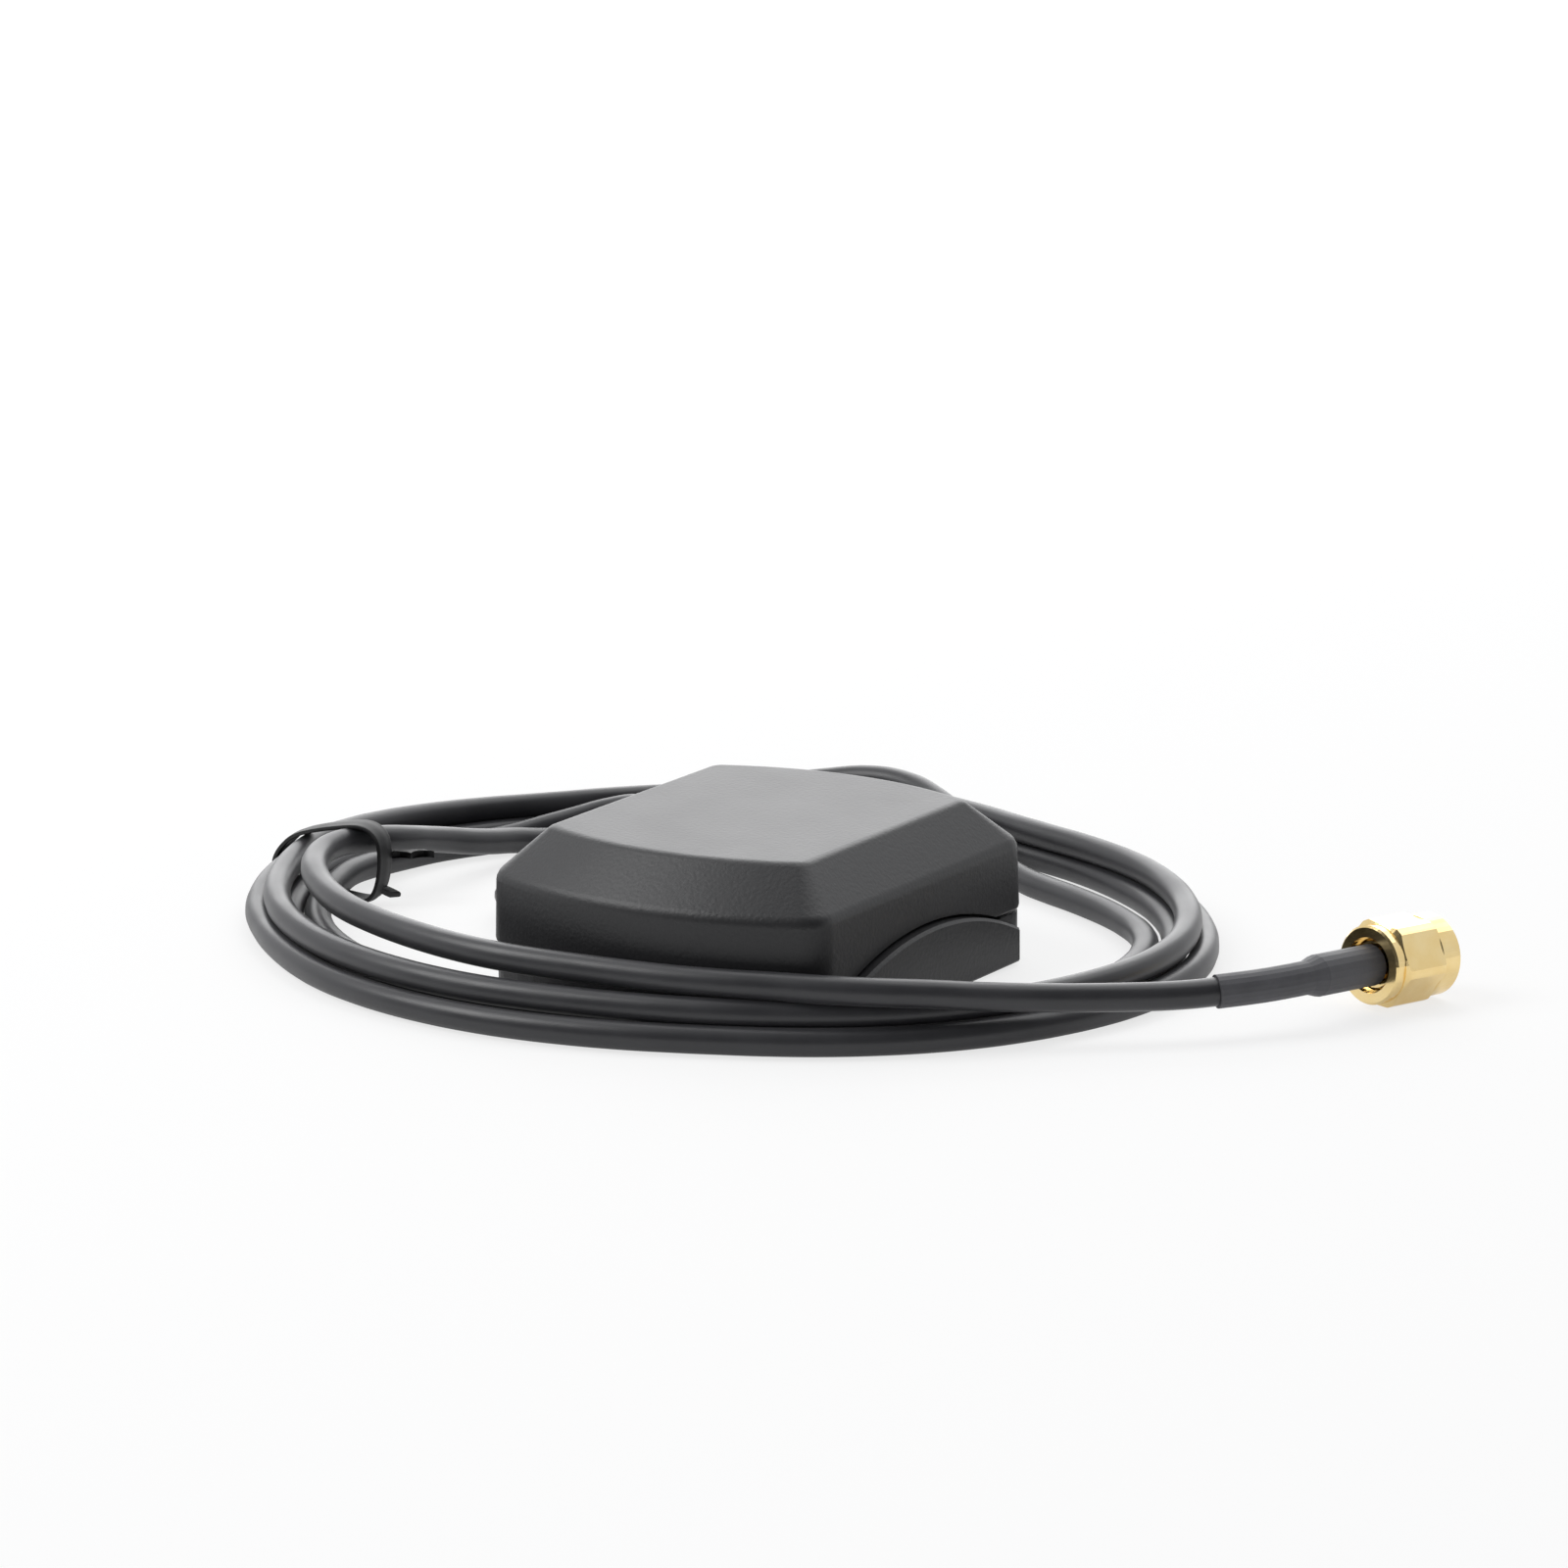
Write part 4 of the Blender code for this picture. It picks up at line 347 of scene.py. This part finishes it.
# Ends of the tie: past the bundle the strip's two ends are wrung together, and they stand off stiffly.
# Each is a short bar of vinyl over wire, drawn out step by step. At every step its end face is turned a little
# about the vertical, so that the bar comes out crumpled.
TIE_END_STEP = 0.00036        # length of one step
TIE_END_EDGE = 0.00015
TIE_ENDS = (                  # name, start, heading, steps, width, thickness, degrees turned at each step
    ("twist_tie_long_end", (-0.0483, 0.0034, 0.0050), (3.6, 2.3, 0.15), 12, 0.0015, 0.0007, 26.0),
    ("twist_tie_short_end", (-0.0486, 0.0024, 0.0017), (1.5, 0.9, -0.9), 5, 0.0012, 0.0007, 14.0),
)
for name, start, heading, steps, wide, thick, twist in TIE_ENDS:
    start = Vector(start)
    heading = Vector(heading).normalized()
    facing = heading.to_track_quat("Z", "Y").to_matrix()
    bpy.ops.object.select_all(action="DESELECT")
    bpy.ops.mesh.primitive_plane_add(size=1.0)
    bar = bpy.context.object
    bar.name = name
    for vertex in bar.data.vertices:
        vertex.co = facing @ Vector((vertex.co.x * wide, vertex.co.y * thick, 0.0)) + start
    bpy.ops.object.mode_set(mode="EDIT")
    bpy.ops.mesh.select_all(action="SELECT")
    for step in range(1, steps + 1):
        bpy.ops.mesh.extrude_region_move(TRANSFORM_OT_translate={"value": heading * TIE_END_STEP})
        spot = start + heading * TIE_END_STEP * step
        bpy.ops.transform.rotate(value=math.radians(twist), orient_axis="Z", center_override=spot)
    bpy.ops.mesh.select_all(action="SELECT")
    bpy.ops.mesh.normals_make_consistent(inside=False)
    bpy.ops.object.mode_set(mode="OBJECT")
    modifier = bar.modifiers.new("bevel", "BEVEL")
    modifier.width = TIE_END_EDGE
    modifier.segments = 2
    modifier.limit_method = "ANGLE"
    bpy.ops.object.modifier_apply(modifier=modifier.name)
    bpy.ops.object.shade_smooth_by_angle(angle=SOFT_TURN)
    bar.data.materials.append(tie_vinyl)
    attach(bar, "antenna")


def dress(material, *names):
    """Gives solids from the frame a finish."""
    for name in names:
        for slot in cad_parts[name].material_slots:
            slot.material = material


# Base: moulded in the same black ABS as the cover, with an arched tongue at each end.
# It closes the puck from below and holds the screws, the magnet and the board.
MOTES_PER_METRE = 300.0
MOTE_RADIUS = 0.035           # as a share of the space from one mote to the next
MOTE_RARITY = 0.97            # share of the motes that are left out

# Spark-eroded ABS: dark, matt and finely pebbled from the tool; the pebble is drawn coarser than it is, to
# show. A few pale motes of dust lie on it.
abs_plastic = surface("matt moulded ABS", "#202022", "#242426", patch=9.0, rough=(0.43, 0.46), grain=0.40,
                      depth=0.030, ior=1.53)
tree = abs_plastic.node_tree
motes = add_node(tree, "ShaderNodeTexVoronoi", Vector=tree.nodes["place"].outputs["Object"],
                 Scale=MOTES_PER_METRE)
small = add_node(tree, "ShaderNodeMath", {"operation": "LESS_THAN"}, i0=motes.outputs["Distance"],
                 i1=MOTE_RADIUS)
apart = add_node(tree, "ShaderNodeSeparateColor", Color=motes.outputs["Color"])
rare = add_node(tree, "ShaderNodeMath", {"operation": "GREATER_THAN"}, i0=apart.outputs[0], i1=MOTE_RARITY)
dusty = add_node(tree, "ShaderNodeMath", {"operation": "MULTIPLY"}, i0=small.outputs[0], i1=rare.outputs[0])
dust = add_node(tree, "ShaderNodeMix", {"data_type": "RGBA"}, i0=dusty.outputs[0],
                i6=tree.nodes["tint"].outputs[2], i7=linear("#8c8c8a"))
tree.links.new(dust.outputs[2], tree.nodes["Principled BSDF"].inputs["Base Color"])
dress(abs_plastic, "base_plate")

# Foot pad: a die-cut sheet of closed-cell rubber glued into the base's recess, which the puck stands on.
# Matt and slightly open-grained, it keeps the magnet from scratching paint.
pad_rubber = surface("closed-cell rubber sheet", "#161617", "#1f1f20", patch=5.0, rough=(0.78, 0.90),
                     grain=0.45, depth=0.05)
dress(pad_rubber, "foot_pad")

# Magnet: a sintered disc that holds the puck on a steel roof, in the base's pocket above the pad.
# Its nickel plating is bright and nearly smooth, a little yellower than chrome.
nickel = surface("bright nickel plating", "#bdbab2", "#cbc8c1", patch=6.0, rough=(0.18, 0.28), grain=0.4,
                 depth=0.002, metallic=1.0)
dress(nickel, "magnet")

# Screws: four self-tapping steel screws, cold-headed, driven from below into the cover's bosses.
# Their zinc plating is bright with a faint blue cast.
zinc = surface("zinc plated steel", "#a9adb2", "#bcc0c2", patch=1.5, rough=(0.28, 0.40), grain=0.2,
               depth=0.003, metallic=1.0)
dress(zinc, "base_screw_1", "base_screw_2", "base_screw_3", "base_screw_4")

# Seal: a moulded silicone ring in the groove of the base's lip, which the cover slides over.
# Black silicone is matt and slightly dusty to look at. The cable's grommet is moulded in it too.
silicone = surface("black silicone rubber", "#141414", "#1c1c1c", patch=4.0, rough=(0.62, 0.76), grain=0.2,
                   depth=0.006, ior=1.42)
dress(silicone, "housing_gasket", "cable_grommet")

# Board: glass-filled laminate that carries the amplifier below and the ceramic patch above.
# Green lacquer over it is glossy. The pale weave of the glass just shows through it, and is drawn coarser
# than it is, to show.
WEAVE_PER_METRE = 300.0
WEAVE_SHOWS = 0.35            # how much of the weave the lacquer lets through
lacquer = surface("green lacquered laminate", "#1e5636", "#2a6a43", patch=5.0, rough=(0.28, 0.38), grain=0.3,
                  depth=0.003, ior=1.5)
tree = lacquer.node_tree
weave = add_node(tree, "ShaderNodeTexBrick", {"offset": 0.5}, Vector=tree.nodes["place"].outputs["Object"],
                 Scale=WEAVE_PER_METRE, Mortar_Size=0.06, Color1=linear("#235d3b"), Color2=linear("#296642"),
                 Mortar=linear("#3c7a55"))
woven = add_node(tree, "ShaderNodeMix", {"data_type": "RGBA"}, i0=WEAVE_SHOWS,
                 i6=tree.nodes["tint"].outputs[2], i7=weave.outputs[0])
tree.links.new(woven.outputs[2], tree.nodes["Principled BSDF"].inputs["Base Color"])
dress(lacquer, "amplifier_board")

# Shield can: folded from tinned sheet and soldered over the amplifier, to keep its signals in.
# The tin is bright, with faint rolling marks and finger smears.
tinned = surface("tinned steel sheet", "#b9b9b6", "#c8c8c5", patch=4.0, rough=(0.26, 0.40), grain=0.5,
                 depth=0.003, metallic=1.0)
dress(tinned, "shield_can")

# Chips under the can: the amplifier and its filter, soldered to the board.
# Transfer-moulded epoxy is charcoal black and matt from its fine silica filler.
epoxy = surface("moulded black epoxy", "#1a1a1b", "#222223", patch=1.0, rough=(0.50, 0.62), grain=0.12,
                depth=0.006, ior=1.55)
dress(epoxy, "amplifier_chip", "saw_filter")

# Capacitors: six small blocks, layered and fired, soldered in two rows beside the chips.
# Their ceramic is tan and dull.
fired = surface("fired capacitor ceramic", "#8f765c", "#a38a6e", patch=0.5, rough=(0.35, 0.50), grain=0.1,
                depth=0.003, ior=1.6)
dress(fired, *("chip_capacitor_%d" % number for number in range(1, 7)))

# Adhesive pad: thin foam tape that holds the ceramic patch on the board.
# It is off-white and quite dull at its cut edges.
foam = surface("acrylic foam tape", "#cfcdc6", "#dcdad4", patch=2.0, rough=(0.80, 0.92), grain=0.3,
               depth=0.02)
dress(foam, "adhesive_pad")

# Ceramic patch: the aerial itself, a pressed and fired block taped to the board.
# It is a pale stone colour and dead matt, with fine pits.
ceramic = surface("fired patch ceramic", "#b3a892", "#c4baa5", patch=3.0, rough=(0.60, 0.74), grain=0.25,
                  depth=0.012, ior=1.7)
dress(ceramic, "ceramic_patch")

# Electrode and feed pin: silver paste is screened on the ceramic and fired, and the silvered pin goes down
# through the block to the board. The screen leaves a fine mesh grain in a satin silver.
silver = surface("fired silver paste", "#cfcbc2", "#dedad2", patch=2.5, rough=(0.34, 0.48), grain=0.2,
                 depth=0.005, metallic=1.0)
dress(silver, "patch_electrode", "feed_pin")

# Cable end inside the puck: the jacket is cut back, then the tinned braid and the white core show.
# The braid is soldered to the board beside the core. Its wires cross at a slant and are drawn coarser than
# they are, to show.
BRAID_SLANT = math.radians(35.0)
BRAID_WIRES_PER_METRE = 600.0
BRAID_RELIEF = 0.00008        # how far a wire stands out
dress(vinyl, "cable_entry")
braid = surface("tinned copper braid", "#a39a8e", "#bfb6aa", patch=0.6, rough=(0.35, 0.50), grain=0.15,
                depth=0.004, metallic=1.0)
tree = braid.node_tree
lays = []
for slant in (BRAID_SLANT, -BRAID_SLANT):
    turned = add_node(tree, "ShaderNodeMapping", Vector=tree.nodes["place"].outputs["Object"],
                      Rotation=(0.0, slant, slant))
    lays.append(add_node(tree, "ShaderNodeTexWave", Vector=turned.outputs[0], Scale=BRAID_WIRES_PER_METRE))
crossed = add_node(tree, "ShaderNodeMath", {"operation": "MAXIMUM"}, i0=lays[0].outputs[1],
                   i1=lays[1].outputs[1])
wires = add_node(tree, "ShaderNodeBump", Height=crossed.outputs[0], Distance=BRAID_RELIEF)
tree.links.new(wires.outputs[0], tree.nodes["Principled BSDF"].inputs["Normal"])
dress(braid, "cable_braid")

# Polythene: milky white and waxy.
core = surface("white polythene core", "#dedcd5", "#e8e6e0", patch=1.5, rough=(0.35, 0.45), grain=0.2,
               depth=0.002, ior=1.5)
dress(core, "cable_core")

# Cover: one moulding with bowed long sides, a broad chamfer and a flat top, from the same ABS as the base.
# It sits over the base's lip on the seal, and the four screws hold it from below.
# It is a copy of the frame's solid with its facets blended, as a polished tool leaves the bowed faces.
MERGE = 1e-6
FACET_TURN = math.radians(22)    # faces that meet at less than this belong to one bowed face
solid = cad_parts["top_cover"]
cover = bpy.data.objects.new("cover_moulding", solid.data.copy())
bpy.context.collection.objects.link(cover)
bpy.ops.object.select_all(action="DESELECT")
cover.select_set(True)
bpy.context.view_layer.objects.active = cover
bpy.ops.object.mode_set(mode="EDIT")
bpy.ops.mesh.select_all(action="SELECT")
bpy.ops.mesh.remove_doubles(threshold=MERGE)
bpy.ops.object.mode_set(mode="OBJECT")
bpy.ops.object.shade_smooth_by_angle(angle=FACET_TURN)
modifier = cover.modifiers.new("weighted", "WEIGHTED_NORMAL")
modifier.keep_sharp = True
bpy.ops.object.modifier_apply(modifier=modifier.name)
cover.data.materials.clear()
cover.data.materials.append(abs_plastic)
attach(cover, "antenna")
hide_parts("top_cover")

# Sleeve: black shrink tube over the cable's end and the ferrule, drawn tight by heat.
# Irradiated polythene is a greyer and duller black than the jacket, with slight ripples where it shrank.
shrink = surface("shrunk polythene tube", "#47474a", "#515155", patch=2.5, rough=(0.50, 0.60), grain=0.22,
                 depth=0.010, ior=1.51)
dress(shrink, "heat_shrink_sleeve")

# Ferrule and snap ring: the ferrule is crimped over the braid under the sleeve, and the ring keeps the nut on
# the plug's body. Both are left as bright turned brass, yellower and softer in shine than the gold.
brass = surface("bright turned brass", "#cfb06a", "#dcc07c", patch=2.0, rough=(0.22, 0.32), grain=0.15,
                depth=0.002, metallic=1.0)
dress(brass, "crimp_ferrule", "snap_ring")

# Insulator: a turned ring of fluoropolymer, pressed into the cup of the plug's body round the pin.
# It is a clean, slightly waxy white.
ptfe = surface("white fluoropolymer", "#e2e1dc", "#eceae6", patch=1.5, rough=(0.40, 0.50), grain=0.15,
               depth=0.002, ior=1.35)
dress(ptfe, "insulator")

# Face gasket: a ring of the same silicone as the seal, round the nose of the plug's body inside the nut.
# It keeps rain out of the joint when the plug is screwed up.
dress(silicone, "face_gasket")

# Plug's body, centre pin and coupling nut: turned brass, the nut from hexagon bar, flashed with gold over
# nickel. The pin stands in the insulator, and the nut turns freely on the body.
# The plating is a pale warm yellow with sharp reflections and faint turning marks.
gold = surface("gold plating on turned brass", "#efd190", "#f8e0a8", patch=3.0, rough=(0.13, 0.20),
               grain=0.12, depth=0.0012, metallic=1.0)
dress(gold, "connector_body", "centre_pin", "coupling_nut")
